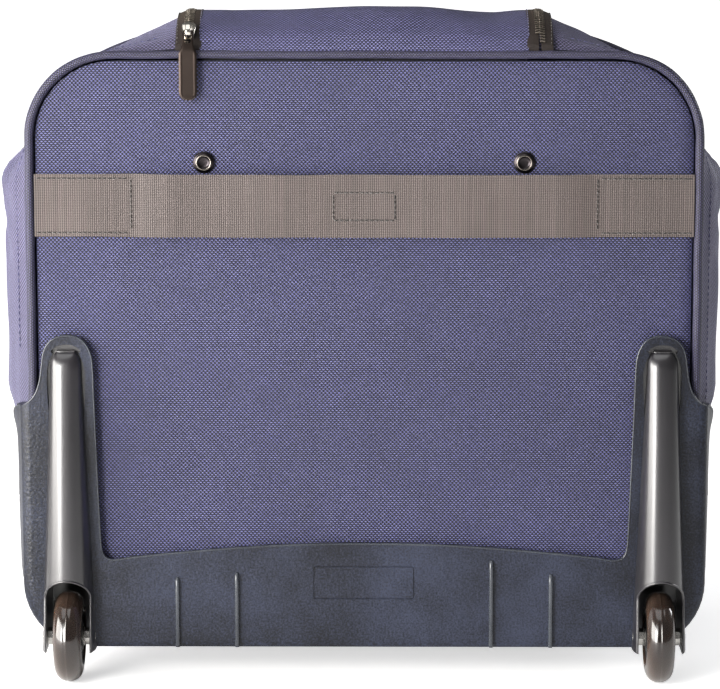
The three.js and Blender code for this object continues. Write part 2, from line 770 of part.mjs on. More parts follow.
const gripLevel = (z, inset) =>
  atZ(
    centredRect(
      0,
      TUBE_Y,
      GRIP_HALF_L - inset,
      GRIP_HALF_D - inset,
      GRIP_CORNER_R - inset,
    ),
    z,
  );
const buttonOutline = (grow, radius) =>
  centredRect(0, TUBE_Y, BUTTON_HALF_L + grow, BUTTON_HALF_D + grow, radius);
const buttonHole = prismXY(buttonOutline(BUTTON_CLEARANCE, 3.5), 383.2, 400);

function gripBase() {
  const block = loft([
    gripLevel(GRIP_BOTTOM, 2),
    gripLevel(GRIP_BOTTOM + 2, 0),
    gripLevel(GRIP_SPLIT_Z, 0),
  ]);
  return cut(block, tubeHoles(INNER_TUBE, 370, INNER_Z[1] + GAP), buttonHole);
}

function gripCap() {
  const block = loft([
    gripLevel(GRIP_SPLIT_Z + GAP, 0),
    gripLevel(391, 0.4),
    gripLevel(394, 2),
    gripLevel(GRIP_TOP, 4.8),
  ]);
  return cut(block, buttonHole);
}

const gripButton = () =>
  loft([
    atZ(buttonOutline(0, 3), 387.6),
    atZ(buttonOutline(0, 3), 397.6),
    atZ(buttonOutline(-0.8, 2.4), 398.6),
  ]);

add("trolley_inner", "grip_base", gripBase(), "plastic");
add("trolley_inner", "grip_cap", gripCap(), "rubber");
add("grip_button", "grip_button", gripButton(), "gunmetal");

// ------------------------------------------------------ top flap and its zip
const FLAP_HALF_W = 104; // to the zip
const FLAP_REAR_Y = -82.4;
const FLAP_FRONT_Y = -9;
const FLAP_CORNER_R = 26; // the two free corners, at the front
const FLAP_T = 2;
const FLAP_CROWN = 2; // extra height along the middle
const FLAP_MARGIN = 5.5; // fabric edge to zip
const FLAP_TAPE_H = [1.1, 2.4]; // under and upper side of the tape above the body
// rows across the flap, as shares of its depth; closer round the free corners
const FLAP_ROWS = [
  0, 0.08, 0.2, 0.33, 0.46, 0.58, 0.68, 0.78, 0.86, 0.92, 0.965, 0.99, 1,
];

function flapHalfWidth(y) {
  const halfW = FLAP_HALF_W - FLAP_MARGIN;
  const radius = FLAP_CORNER_R - FLAP_MARGIN;
  const past = y - (FLAP_FRONT_Y - FLAP_MARGIN - radius);
  if (past <= 0) return halfW;
  return halfW - radius + Math.sqrt(Math.max(0, radius * radius - past * past));
}

function handleFlap() {
  const rows = FLAP_ROWS.length - 1;
  const surface = (u, v, layer) => {
    const y = lerp(FLAP_REAR_Y, FLAP_FRONT_Y - 5.6, FLAP_ROWS[Math.round(v * rows)]);
    const halfW = flapHalfWidth(y);
    const x = lerp(-halfW, halfW, u);
    const crown = FLAP_CROWN * Math.cos((x / FLAP_HALF_W) * (Math.PI / 2));
    return point(x, y, topZ(x, y) + GAP + (layer ? FLAP_T : 0) + crown);
  };
  return slab(surface, 10, rows);
}

// [x, y] at a share of the U-shaped zip line, moved outward
function flapZipPoint(share, outward) {
  const radius = FLAP_CORNER_R;
  const rearY = FLAP_REAR_Y + 0.4;
  const cornerY = FLAP_FRONT_Y - radius;
  const cornerX = FLAP_HALF_W - radius;
  const straight = cornerY - rearY;
  const arc = (radius * Math.PI) / 2;
  const across = 2 * cornerX;
  let run = share * (2 * straight + 2 * arc + across);
  if (run <= straight) return [-FLAP_HALF_W - outward, rearY + run];
  run -= straight;
  if (run <= arc) {
    const angle = run / radius;
    return [
      -cornerX - (radius + outward) * Math.cos(angle),
      cornerY + (radius + outward) * Math.sin(angle),
    ];
  }
  run -= arc;
  if (run <= across) return [-cornerX + run, FLAP_FRONT_Y + outward];
  run -= across;
  if (run <= arc) {
    const angle = run / radius;
    return [
      cornerX + (radius + outward) * Math.sin(angle),
      cornerY + (radius + outward) * Math.cos(angle),
    ];
  }
  return [FLAP_HALF_W + outward, cornerY - (run - arc)];
}

// band of tape between two distances outside the zip line
function flapTape(from, to) {
  const surface = (u, v, layer) => {
    const [x, y] = flapZipPoint(u, lerp(from, to, v));
    return point(x, y, topZ(x, y) + FLAP_TAPE_H[layer]);
  };
  return slab(surface, 32, 1);
}

add("flap", "handle_flap", handleFlap(), "fabric");
add("flap", "flap_zip_tape_flap", flapTape(-5, 1.1), "zip");
add("shell", "flap_zip_tape_body", flapTape(1.6, 8), "zip");

// ---------------------------------------------------- zip sliders and pulls
// local frame of a slider: x across the zip, y along it, z outward
const SLIDER_PLATE = [
  [-6.5, 0.4], [6.5, 0.4], [6.5, 1.8], [4.5, 2.8], [-4.5, 2.8], [-6.5, 1.8],
];
const SLIDER_BRIDGE = [
  [-6, 2.4], [5, 2.4], [4.6, 5], [2, 7.2], [-5, 7.2], [-6.6, 6],
];
const BRIDGE_OPENING = [[-5.4, 3.1], [-5.4, 6], [1.2, 6], [3.2, 3.1]];
const PULL_BAR = [0, -3.9, 4.55]; // where the pull's bar sits in the bridge
const PULL_LENGTH = 30;
// [x, y] of the right half: bar end, neck, blade, pointed tip
const PULL_HALF = [
  [3.4, 1],
  [3.4, -4.4],
  [5.2, -7],
  [5.2, 5 - PULL_LENGTH],
  [3.6, 1.2 - PULL_LENGTH],
  [0, -PULL_LENGTH],
];

function zipSlider(placement) {
  const plate = prismYZ(SLIDER_PLATE, -4.4, 4.4);
  const bridge = prismYZ(SLIDER_BRIDGE, -1.6, 1.6, [BRIDGE_OPENING]);
  return placed(union(plate, bridge), placement);
}

// flat pull on a slider with the given placement
function straightPull(placement) {
  const body = prismXY(mirroredLine(PULL_HALF), -0.7, 0.7);
  const window = box(-2.2, 2.2, -5.6, -0.8, -2, 2);
  return placed(cut(body, window), chain(move(...PULL_BAR), placement));
}

// flap slider: on the hump's arc, near the left rear end of the zip
const FLAP_SLIDER_X = -105.4;
const flapSliderPlace = chain(
  move(0, 0, ARC_R + 2.5),
  turnX(38),
  move(FLAP_SLIDER_X, ARC_Y, ARC_Z),
);

// bent pull: back from the bridge, then hanging down behind the rear panel
function flapPull() {
  const { y: barY, z: barZ } = point(...PULL_BAR).applyMatrix4(flapSliderPlace);
  const x = FLAP_SLIDER_X;
  const halfW = 5.5;
  const neck = 3.4;
  const halfT = 0.75;
  const hangY = -89.2;
  const bentSheet = prismYZ(
    [
      [barY + halfT * 0.9, barZ + 0.1],
      [barY - halfT * 0.3, barZ + halfT],
      [hangY - halfT, 387.2],
      [hangY - halfT, 358.4],
      [hangY, 357.4],
      [hangY + halfT, 358.4],
      [hangY + halfT, 386],
      [barY + halfT * 0.7, barZ - halfT],
    ],
    x - halfW,
    x + halfW,
  );
  const outline = [
    [x + neck, barZ + 3],
    [x - neck, barZ + 3],
    [x - neck, 388],
    [x - halfW, 385],
  ];
  for (let i = 0; i <= 8; i++) {
    const angle = Math.PI + (i / 8) * Math.PI;
    outline.push([x + halfW * Math.cos(angle), 363 + 5.6 * Math.sin(angle)]);
  }
  outline.push([x + halfW, 385], [x + neck, 388]);
  const window = box(x - 2.2, x + 2.2, -100, barY + 3, barZ - 5.2, barZ - 0.9);
  return cut(bentSheet.intersect(prismXZ(outline, -110, -60)), window);
}

add("flap_slider", "flap_slider", zipSlider(flapSliderPlace), "chrome");
add("flap_pull", "flap_pull", flapPull(), "bronze");

// -------------------------------------------------------------- carry handle
const HANDLE_X = 80;
const HANDLE_Y = 8.5; // pivot
const HANDLE_Z = 393.6;
const HANDLE_REACH = 29;
const PIN_R = 2;
// [distance in from the pivot, distance forward of it], left end to middle
const HANDLE_LINE = [
  [0, 2.5], [0, 12], [3, 20.5], [12, 27.4], [26, HANDLE_REACH],
  [HANDLE_X, HANDLE_REACH],
];

const pinRod = (radius, side, halfLength, segments) =>
  cylX(radius, side * HANDLE_X, halfLength, HANDLE_Y, HANDLE_Z, segments);

// lies forward on the top
function carryHandle() {
  const half = HANDLE_LINE.map(([inward, forward]) => [
    inward - HANDLE_X,
    HANDLE_Y + forward,
  ]);
  return cut(
    union(
      sweep(atZ(mirroredLine(half), HANDLE_Z), ellipse(4.2, 6.6, 8), 26),
      pinRod(4.4, -1, 6.6, 16),
      pinRod(4.4, 1, 6.6, 16),
    ),
    pinRod(PIN_R + GAP, -1, 12, 12),
    pinRod(PIN_R + GAP, 1, 12, 12),
  );
}

// foot plate with two ears and the pivot pin between them
function handleAnchor(side) {
  const centreX = side * HANDLE_X;
  const earOutline = [
    [HANDLE_Y - 6, 388],
    [HANDLE_Y + 6, 388],
    [HANDLE_Y + 4, HANDLE_Z + 2.4],
    [HANDLE_Y + 2, HANDLE_Z + 4],
    [HANDLE_Y - 2, HANDLE_Z + 4],
    [HANDLE_Y - 4, HANDLE_Z + 2.4],
  ];
  return union(
    prismXY(centredRect(centreX, HANDLE_Y, 14, 8, 3), BODY_TOP + GAP, BODY_TOP + 1.6),
    prismYZ(earOutline, centreX - 10, centreX - 7.2),
    prismYZ(earOutline, centreX + 7.2, centreX + 10),
    pinRod(PIN_R, side, 8, 12),
  );
}

add("carry_handle", "carry_handle", carryHandle(), "rubber");
for (const [side, sign] of SIDES) {
  add("shell", `handle_anchor_${side}`, handleAnchor(sign), "plastic");
}

// ------------------------------------------------------------- front section
const FRONT_PIPE_Y = 92; // piping round the front face
const FRONT_PIPE_R = 2.5;
const FRONT_PIPE_OUT = 3.7; // centre of the piping outside the fabric

// runs from sill to sill over the top
function frontPiping() {
  const inset = interpolate(INSET, FRONT_PIPE_Y) - FRONT_PIPE_OUT;
  const half = halfArch(
    BODY_HALF_W - inset,
    BODY_TOP - inset,
    TOP_CORNER_R,
    [68, 120, 180, 240, 300],
    6,
  ).map(([x, z]) => [x + swell(x, FRONT_PIPE_Y, z), z]);
  const line = atY(mirroredLine(half), FRONT_PIPE_Y);
  return sweep(line, ellipse(FRONT_PIPE_R, FRONT_PIPE_R, 6), 46);
}

const frontSection = () =>
  gusset.intersect(box(-FAR, FAR, SPLIT_Y + 2 * GAP, 140, SILL_Z + GAP, 420));

// crowned panel open at its back
const POCKET_HALF_W = 168;
const POCKET_Z = [84, 292];
const POCKET_EDGE = 2.6; // depth at the rim
const POCKET_CROWN = 17.1;
const POCKET_T = 2.4;

const pocketX = (u) => lerp(-POCKET_HALF_W, POCKET_HALF_W, u);
const pocketZ = (v) => lerp(...POCKET_Z, v);

function pocketFaceY(u, v) {
  const fullX = Math.min(1, (1 - Math.pow(Math.abs(2 * u - 1), 5)) * 1.1);
  const fullZ = Math.min(1, (1 - Math.pow(Math.abs(2 * v - 1), 4)) * 1.05);
  return FRONT_Y + GAP + POCKET_EDGE + POCKET_CROWN * fullX * fullZ;
}

function frontPocket() {
  const outside = (u, v, layer) =>
    point(pocketX(u), layer ? pocketFaceY(u, v) : FRONT_Y + GAP, pocketZ(v));
  const inside = (u, v, layer) => {
    const innerU = lerp(0.03, 0.97, u);
    const innerV = lerp(0.04, 0.96, v);
    const y = layer ? pocketFaceY(innerU, innerV) - POCKET_T : FRONT_Y - 5;
    return point(pocketX(innerU), y, pocketZ(innerV));
  };
  return cut(slab(outside, 10, 8), slab(inside, 10, 8));
}

add("lid", "front_piping", frontPiping(), "piping");
add("lid", "front_section", frontSection(), "fabric_side");
add("lid", "front_pocket", frontPocket(), "fabric");

// ------------------------------------------------- main zip and pocket zip
const MAIN_TAPE_H = [0.45, 1.7]; // inner and outer side of the tape off the body

// band of tape over the top and down both sides, from y0 to y1
function mainTape(y0, y1) {
  const archAt = (out) =>
    halfArch(
      BODY_HALF_W + out,
      BODY_TOP + out,
      TOP_CORNER_R + out,
      [70, 120, 170, 240, 300],
      4,
    );
  // swelling is taken on the body surface so that the tape keeps its thickness
  const shifts = archAt(0).map(([x, z]) => swell(x, 50, z));
  const lines = MAIN_TAPE_H.map((out) =>
    mirroredLine(archAt(out).map(([x, z], i) => [x + shifts[i], z])),
  );
  const steps = lines[0].length - 1;
  const surface = (u, v, layer) => {
    const [x, z] = lines[layer][Math.round(u * steps)];
    return point(x, lerp(y0, y1, v), z);
  };
  return slab(surface, steps, 1);
}

// two sliders meet at the middle of the top, their pulls outward along the zip
const mainSliderPlace = (side) =>
  chain(turnZ(side * 90), move(side * 8, SPLIT_Y + 0.2, BODY_TOP + MAIN_TAPE_H[1]));

add("shell", "main_zip_tape_body", mainTape(SPLIT_Y - 5.2, SPLIT_Y - 0.2), "zip");
add("lid", "main_zip_tape_front", mainTape(SPLIT_Y + 0.7, SPLIT_Y + 5.6), "zip");
for (const [side, sign] of SIDES) {
  const name = `main_slider_${side}`;
  add(name, name, zipSlider(mainSliderPlace(sign)), "chrome");
}
for (const [side, sign] of SIDES) {
  const name = `main_pull_${side}`;
  add(name, name, straightPull(mainSliderPlace(sign)), "bronze");
}

// pocket zip just above the pocket, its slider near the left end
const pocketTop = POCKET_Z[1];
const pocketSliderPlace = chain(
  turnZ(90),
  turnX(-90),
  move(-140, FRONT_Y + 2, pocketTop + 5.8),
);
const pocketTape = () =>
  box(-150, 150, FRONT_Y + GAP, FRONT_Y + 1.9, pocketTop + 0.6, pocketTop + 11);

add("lid", "pocket_zip_tape", pocketTape(), "zip");
add("pocket_slider", "pocket_slider", zipSlider(pocketSliderPlace), "chrome");
add("pocket_pull", "pocket_pull", straightPull(pocketSliderPlace), "bronze");

export default root;
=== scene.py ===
"""A small soft-sided wheeled case in ballistic nylon, standing upright on the floor.

X runs across the case with its left side at -X. The rear, with the wheels, the moulded base
plate and the strap, faces -Y; the pocket on the front faces +Y. Z is up from the floor.
"""
import json
import math

import bpy
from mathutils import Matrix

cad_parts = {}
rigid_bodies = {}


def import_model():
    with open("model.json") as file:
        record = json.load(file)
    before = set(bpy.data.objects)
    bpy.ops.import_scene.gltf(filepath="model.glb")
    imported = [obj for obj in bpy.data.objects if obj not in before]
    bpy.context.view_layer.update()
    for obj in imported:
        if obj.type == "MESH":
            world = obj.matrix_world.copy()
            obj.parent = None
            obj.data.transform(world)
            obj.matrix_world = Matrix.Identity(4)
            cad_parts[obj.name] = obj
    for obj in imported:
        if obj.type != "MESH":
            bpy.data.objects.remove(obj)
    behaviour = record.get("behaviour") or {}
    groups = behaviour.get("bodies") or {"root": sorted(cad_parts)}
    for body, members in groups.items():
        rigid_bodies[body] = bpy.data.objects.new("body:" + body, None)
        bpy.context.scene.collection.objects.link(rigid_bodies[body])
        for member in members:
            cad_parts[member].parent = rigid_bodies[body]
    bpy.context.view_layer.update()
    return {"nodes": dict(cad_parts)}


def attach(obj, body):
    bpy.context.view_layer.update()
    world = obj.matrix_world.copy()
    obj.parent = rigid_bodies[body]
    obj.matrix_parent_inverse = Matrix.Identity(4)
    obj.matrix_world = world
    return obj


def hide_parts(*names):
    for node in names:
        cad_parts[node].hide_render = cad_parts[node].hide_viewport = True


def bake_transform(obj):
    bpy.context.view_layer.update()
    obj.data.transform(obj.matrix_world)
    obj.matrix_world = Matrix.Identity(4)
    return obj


for leftover in list(bpy.data.objects):
    bpy.data.objects.remove(leftover)

import bmesh
import numpy as np
from mathutils import Vector, noise

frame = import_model()

# Lengths are millimetres in the frame's axes; mesh_obj() turns them into metres.
MM = 0.001
PI = math.pi
SIDES = (("left", -1), ("right", 1))

# ------------------------------------------------------------------ dimensions
HALF_WIDTH = 203.5
BOTTOM_Z = 24.0
TOP_Z = 387.0
TOP_RADIUS = 52.0
BOTTOM_RADIUS = 42.0
REAR_Y = -80.7  # rear edge of the soft body
NOSE_Y = 80.0  # from here the body rounds in to the front face
FRONT_Y = 100.0
NOSE_DEPTH = FRONT_Y - NOSE_Y
MID_Z = 200.0  # outlines are sorted by angle about this height

# the arched part of the top, a cylinder along X
ARC_Y = -44.0
ARC_Z = 355.2
ARC_RADIUS = 50.8

SPLIT_Y = 52.0  # main zip
SILL_Z = 60.0  # below this the front section does not open
RIGHT_BULGE = 0.84  # the right side swells less than the left

PLATE_INNER_Y = -87.1
PLATE_Y = -90.4  # rear face of the base plate
PLATE_GAP = 3.6  # from the soft body out to the plate's outside
PLATE_FOOT = 20.5
WHEEL_X = 181.0
WHEEL_Y = -92.0
WHEEL_RADIUS = 28.0
HOUSING_TOP = 204.0
RIVET_X = 96.5
RIVET_Z = 320.0
FLAP_SLIDER_X = -105.4
FLAP_SLIDER_DEG = 38.0
HANDLE_X = 80.0
HANDLE_Y = 8.5
HANDLE_Z = 393.6  # pins of the carry handle
GRIP_Y = -66.0  # telescopic grip
POCKET_ZIP_Z = 297.8

# Points along an outline: half bottom, bottom corner, side, top corner, half top.
FINE = (26, 12, 44, 14, 48)
COARSE = (16, 12, 30, 8, 16)


# ------------------------------------------------------------- curves and numbers
def lerp(a, b, t):
    return a + (b - a) * t


def smooth(a, b, v):
    t = np.clip((np.asarray(v, float) - a) / (b - a), 0, 1)
    return t * t * (3 - 2 * t)


def power(v, exponent):
    """abs(v) to a power, with the sign of v."""
    return math.copysign(abs(v) ** exponent, v)


def unit(v):
    return v / max(np.linalg.norm(v), 1e-9)


def unit_rows(v):
    return v / np.linalg.norm(v, axis=1, keepdims=True)


def table(points, width):
    """A piecewise curve through points, rounded off over width."""
    xs, ys = np.array(points, float).T
    grid = np.arange(xs[0] - 3 * width, xs[-1] + 3 * width, 0.5)
    kernel = np.hanning(max(3, int(width / 0.5) | 1))
    kernel /= kernel.sum()
    padded_values = np.pad(np.interp(grid, xs, ys), len(kernel) // 2, mode="edge")
    rounded = np.convolve(padded_values, kernel, mode="valid")
    return lambda q: np.interp(q, grid, rounded)


def wobble(x, y, z, size, seed=0.0):
    """Smooth noise in -1..1 for arrays in mm."""
    x, y, z = np.broadcast_arrays(np.asarray(x, float), np.asarray(y, float), np.asarray(z, float))
    values = [
        noise.noise(Vector((a / size + seed, b / size - seed * 0.7, c / size + 3.1 * seed)))
        for a, b, c in zip(x.ravel(), y.ravel(), z.ravel())
    ]
    return np.array(values, float).reshape(x.shape)


def run_length(points):
    """Length along a line up to each of its points."""
    steps = np.linalg.norm(np.diff(points, axis=0), axis=1)
    return np.concatenate([[0], np.cumsum(steps)])


def closed_run(loop):
    return run_length(np.vstack([loop, loop[:1]]))


def along(points, run, q):
    """The points interpolated at run length q."""
    return np.stack([np.interp(q, run, points[:, k]) for k in range(points.shape[1])], -1)


def resample(points, step):
    points = np.asarray(points, float)
    run = run_length(points)
    count = max(2, int(round(run[-1] / step)) + 1)
    return along(points, run, np.linspace(0, run[-1], count))


def spline(points, step):
    """Catmull-Rom through points, resampled every step mm."""
    knots = np.asarray(points, float)
    ext = np.vstack([2 * knots[0] - knots[1], knots, 2 * knots[-1] - knots[-2]])
    out = []
    for i in range(len(knots) - 1):
        p0, p1, p2, p3 = ext[i : i + 4]
        count = max(2, int(np.linalg.norm(p2 - p1) / (step * 0.4)))
        for t in np.linspace(0, 1, count, endpoint=False):
            square = (2 * p0 - 5 * p1 + 4 * p2 - p3) * t**2
            cube = (3 * p1 - p0 - 3 * p2 + p3) * t**3
            out.append(0.5 * ((2 * p1) + (p2 - p0) * t + square + cube))
    out.append(knots[-1])
    return resample(np.array(out), step)


def mirrored(half):
    """Closed outline from its +X half, whose first and last points lie on the axis."""
    return np.vstack([half, half[1:-1][::-1] * [-1, 1]])


def oval(half_a, half_b, count, pow_a=1.0, pow_b=1.0):
    """Ellipse; powers below 1 square it off."""
    angles = [2 * PI * i / count for i in range(count)]
    return [
        (half_a * power(math.cos(a), pow_a), half_b * power(math.sin(a), pow_b)) for a in angles
    ]


def round_rect(x0, x1, y0, y1, r, n=6):
    corners = ((x1 - r, y1 - r), (x0 + r, y1 - r), (x0 + r, y0 + r), (x1 - r, y0 + r))
    out = []
    for k, (cx, cy) in enumerate(corners):
        for i in range(n + 1):
            a = k * PI / 2 + i / n * PI / 2
            out.append((cx + r * math.cos(a), cy + r * math.sin(a)))
    return out


def rounded_ring(z, cx, cy, half_x, half_y, r, n):
    """Level rounded rectangle at height z."""
    flat = round_rect(cx - half_x, cx + half_x, cy - half_y, cy + half_y, r, n)
    return [(x, y, z) for x, y in flat]


# ------------------------------------------------------------ shape of the body
# (y, mm of swell) and (z, share of that swell)
bulge_y = table([(-81, 0), (-70, 9), (-55, 16), (-30, 20.5), (20, 20.5), (52, 18.5), (80, 15),
                 (92, 10), (100, 8)], 9)
bulge_z = table([(24, 0.5), (60, 0.72), (120, 0.8), (146, 0.84), (166, 0.98), (250, 1),
                 (290, 1.03), (305, 1.1), (314, 0.95), (326, 0.4), (336, 0.08), (348, 0.0),
                 (387, 0.0)], 10)
# (abs x, share of the arch in the top)
hump_x = table([(-10, 1), (107, 1), (161, 0), (260, 0)], 9)


def bulge(y, z):
    """Sideways swell of the gusset; pressed in by the base moulding near the rear."""
    low = (1 - smooth(148, 178, z)) * (1 - smooth(-44, -8, y))
    return bulge_y(y) * bulge_z(z) * (1 - 0.42 * low)


def inset(y):
    """How far the outline shrinks where the body rounds in to the front face."""
    t = np.clip((np.asarray(y, float) - NOSE_Y) / NOSE_DEPTH, 0, 1)
    return 19 * (1 - np.sqrt(np.maximum(0, 1 - t**2.2)))


def arc_z(y):
    d = ARC_RADIUS**2 - (np.asarray(y, float) - ARC_Y) ** 2
    return np.maximum(TOP_Z, ARC_Z + np.sqrt(np.maximum(d, 0)))


def hump(x):
    return hump_x(np.abs(x))


def droop(x, y, z):
    """How far the unsupported shoulders sag towards the front."""
    y = np.asarray(y, float)
    sag = 2.0 * smooth(-81, -72, y) + 0.1 * (np.clip(y, -80, 56) + 80) - 1.5 * smooth(60, 100, y)
    return sag * smooth(112, 174, np.abs(x)) * smooth(276, 368, z)


def top_z(x, y):
    return TOP_Z + (arc_z(y) - TOP_Z) * hump(x) - droop(x, y, TOP_Z)


def contour(shrink, counts):
    """Body outline (x, z) from bottom centre round the +X side, over the top and back."""
    n_bottom, n_low, n_side, n_high, n_top = counts
    half_w, low, high = HALF_WIDTH - shrink, BOTTOM_Z + shrink, TOP_Z - shrink
    r_low, r_high = BOTTOM_RADIUS, TOP_RADIUS
    half = [(f * (half_w - r_low), low) for f in np.linspace(0, 1, n_bottom, endpoint=False)]
    for i in range(n_low):
        a = i / n_low * PI / 2
        half.append((half_w - r_low + r_low * math.sin(a), low + r_low - r_low * math.cos(a)))
    half += [(half_w, z) for z in np.linspace(low + r_low, high - r_high, n_side, endpoint=False)]
    for i in range(n_high):
        a = i / n_high * PI / 2
        half.append((half_w - r_high + r_high * math.cos(a),
                     high - r_high + r_high * math.sin(a)))
    half += [(f * (half_w - r_high), high) for f in np.linspace(1, 0, n_top)]
    return mirrored(np.array(half))


def ring(y, offset=0.0, counts=FINE):
    """Section of the body at depth y, grown by offset, with its swell, arch and sag."""
    shrink = float(inset(y)) - offset
    high = TOP_Z - shrink
    x, z = contour(shrink, counts).T
    side = smooth(140, 200, np.abs(x)) * np.sign(x)
    lift = (float(arc_z(y)) - TOP_Z) * hump(x) * smooth(high - 30, high - 4, z)
    swell = bulge(y, z) * side * np.where(x > 0, RIGHT_BULGE, 1.0)
    return np.stack([x + swell, np.full_like(x, y), z + lift - droop(x, y, z)], 1)


def by_angle(points):
    return points[np.argsort(np.arctan2(points[:, 2] - MID_Z, points[:, 0]))]


def ring_line(y, offset, z0, step):
    """Line on the body at depth y and its outward normals.

    It runs from z0 on the right side, over the top, down to MID_Z on the left.
    """
    section = ring(y)
    line = by_angle(section[section[:, 2] > z0])
    line = line[np.arctan2(line[:, 2] - MID_Z, line[:, 0]) > -1.2]
    line = resample(line, step)
    normals = np.cross([0, 1, 0], unit_rows(np.gradient(line, axis=0)))
    normals *= np.sign(np.sum(normals * (line - np.array([0, y, MID_Z])), 1, keepdims=True))
    return line + normals * offset, normals


# ---------------------------------------------------------------- mesh helpers
def link(obj):
    bpy.context.scene.collection.objects.link(obj)
    return obj


def shade(obj, angle=40):
    me = obj.data
    me.polygons.foreach_set("use_smooth", np.ones(len(me.polygons), bool))
    me.set_sharp_from_angle(angle=math.radians(angle))
    me.update()


def mesh_obj(name, verts, faces, mats=(), slots=None, uvs=None, angle=40, merge=0.0, recalc=True):
    """verts in mm, uvs one (u, v) in metres for each corner of each face."""
    me = bpy.data.meshes.new(name)
    me.from_pydata((np.asarray(verts, float) * MM).tolist(), [],
                   [list(map(int, f)) for f in faces])
    if uvs is not None:
        layer = me.uv_layers.new(name="UVMap")
        layer.data.foreach_set("uv", np.asarray(uvs, np.float32).ravel())
    for mat in mats:
        me.materials.append(mat)
    if slots is not None:
        me.polygons.foreach_set("material_index", np.asarray(slots, np.int32))
    if merge or recalc:
        bm = bmesh.new()
        bm.from_mesh(me)
        if merge:
            bmesh.ops.remove_doubles(bm, verts=bm.verts, dist=merge * MM)
        if recalc:
            bmesh.ops.recalc_face_normals(bm, faces=bm.faces)
        bm.to_mesh(me)
        bm.free()
    obj = link(bpy.data.objects.new(name, me))
    shade(obj, angle)
    return obj


def get_points(me):
    """Vertices of a mesh in mm."""
    co = np.zeros(len(me.vertices) * 3)
    me.vertices.foreach_get("co", co)
    return co.reshape(-1, 3) / MM


def move_points(obj, move):
    obj.data.vertices.foreach_set("co", (move(get_points(obj.data)) * MM).ravel())
    obj.data.update()
    return obj


def grid_normals(grid, periodic):
    if periodic:
        du = np.roll(grid, -1, 0) - np.roll(grid, 1, 0)
    else:
        du = np.gradient(grid, axis=0)
    normals = np.cross(du, np.gradient(grid, axis=1))
    return normals / np.maximum(np.linalg.norm(normals, axis=2, keepdims=True), 1e-9)


def arclen(grid, axis, periodic=False):
    """Mean running length along an axis of the grid; one entry more if periodic."""
    if periodic:
        grid = np.concatenate([grid, grid[:1]], 0)
    steps = np.linalg.norm(np.diff(grid, axis=axis), axis=2)
    return np.concatenate([[0], np.cumsum(steps.mean(axis=1 - axis))])


def shell(name, outer, mats, inner=None, thick=0.0, sign=1, periodic=False, uv=None, angle=50,
          merge=0.0):
    """Closed sheet between an outer grid and an inner one.

    Without an inner grid, the outer is moved in by thick along its normals. Material slots are
    outside, inside, rim; a missing inside or rim takes the first.
    """
    if inner is None:
        inner = outer - grid_normals(outer, periodic) * sign * thick
    if uv is None:
        uv = np.meshgrid(arclen(outer, 0), arclen(outer, 1), indexing="ij")
    uv = np.stack(uv, -1) * MM
    rows, cols = outer.shape[:2]
    base = rows * cols
    last = len(mats) - 1
    rim = 2 if last >= 2 else 0
    faces, uvs, slots = [], [], []

    def quad(corners, corner_uvs, slot):
        faces.append(corners)
        uvs.extend(corner_uvs)
        slots.append(slot)

    for i in range(rows if periodic else rows - 1):
        after = (i + 1) % rows
        for j in range(cols - 1):
            a, b, c, d = i * cols + j, after * cols + j, after * cols + j + 1, i * cols + j + 1
            ta, tb, tc, td = uv[i, j], uv[i + 1, j], uv[i + 1, j + 1], uv[i, j + 1]
            quad((a, b, c, d), (ta, tb, tc, td), 0)
            quad((base + a, base + d, base + c, base + b), (ta, td, tc, tb), min(1, last))
        for j in (0, cols - 1):
            a, b = i * cols + j, after * cols + j
            ta, tb = uv[i, j], uv[i + 1, j]
            quad((a, base + a, base + b, b), (ta, ta, tb, tb), rim)
    if not periodic:
        for j in range(cols - 1):
            for i in (0, rows - 1):
                a, b = i * cols + j, i * cols + j + 1
                ta, tb = uv[i, j], uv[i, j + 1]
                quad((a, b, base + b, base + a), (ta, tb, tb, ta), rim)
    verts = np.concatenate([outer.reshape(-1, 3), inner.reshape(-1, 3)])
    return mesh_obj(name, verts, faces, mats, slots, uvs, angle, merge)


def loft(name, rings, run, around, mats, angle, along_u):
    """Closed solid through equal rings; along_u lays the run on U instead of V."""
    count, size = rings.shape[:2]
    faces, uvs = [], []
    for i in range(count - 1):
        for j in range(size):
            after = (j + 1) % size
            faces.append((i * size + j, (i + 1) * size + j,
                          (i + 1) * size + after, i * size + after))
            for row, col in ((i, j), (i + 1, j), (i + 1, j + 1), (i, j + 1)):
                pair = (run[row], around[col])
                uvs.append(pair if along_u else pair[::-1])
    faces.append(tuple(range(size)))
    faces.append(tuple((count - 1) * size + j for j in reversed(range(size))))
    if along_u:
        caps = np.zeros((2 * size, 2))
    else:
        caps = np.concatenate([rings[0], rings[-1][::-1]])[:, [0, 2]]
    uvs = np.vstack([uvs, caps]) * MM
    return mesh_obj(name, rings.reshape(-1, 3), faces, mats, None, uvs, angle)


def tube(name, path, section, mats, up=(0, 1, 0), scale=None, frames=None):
    """Sweeps section [(a, b)] along path; a along the side direction, b along up."""
    path = np.asarray(path, float)
    count = len(path)
    tangents = unit_rows(np.gradient(path, axis=0))
    ups = np.tile(np.asarray(up, float), (count, 1)) if frames is None else frames
    ups = unit_rows(ups - tangents * np.sum(ups * tangents, 1, keepdims=True))
    sides = np.cross(tangents, ups)
    section = np.asarray(section, float)
    scale = np.ones(count) if scale is None else scale
    size = section[None] * scale[:, None, None]
    rings = path[:, None] + sides[:, None] * size[..., :1] + ups[:, None] * size[..., 1:]
    return loft(name, rings, run_length(path), closed_run(section), mats, 60, along_u=True)


def rings_solid(name, rings, mats=(), angle=40):
    rings = np.asarray(rings, float)
    steps = np.linalg.norm(np.diff(rings, axis=0), axis=2).mean(1)
    run = np.concatenate([[0], np.cumsum(steps)])
    around = closed_run(rings[len(rings) // 2])
    return loft(name, rings, run, around, mats, angle, along_u=False)


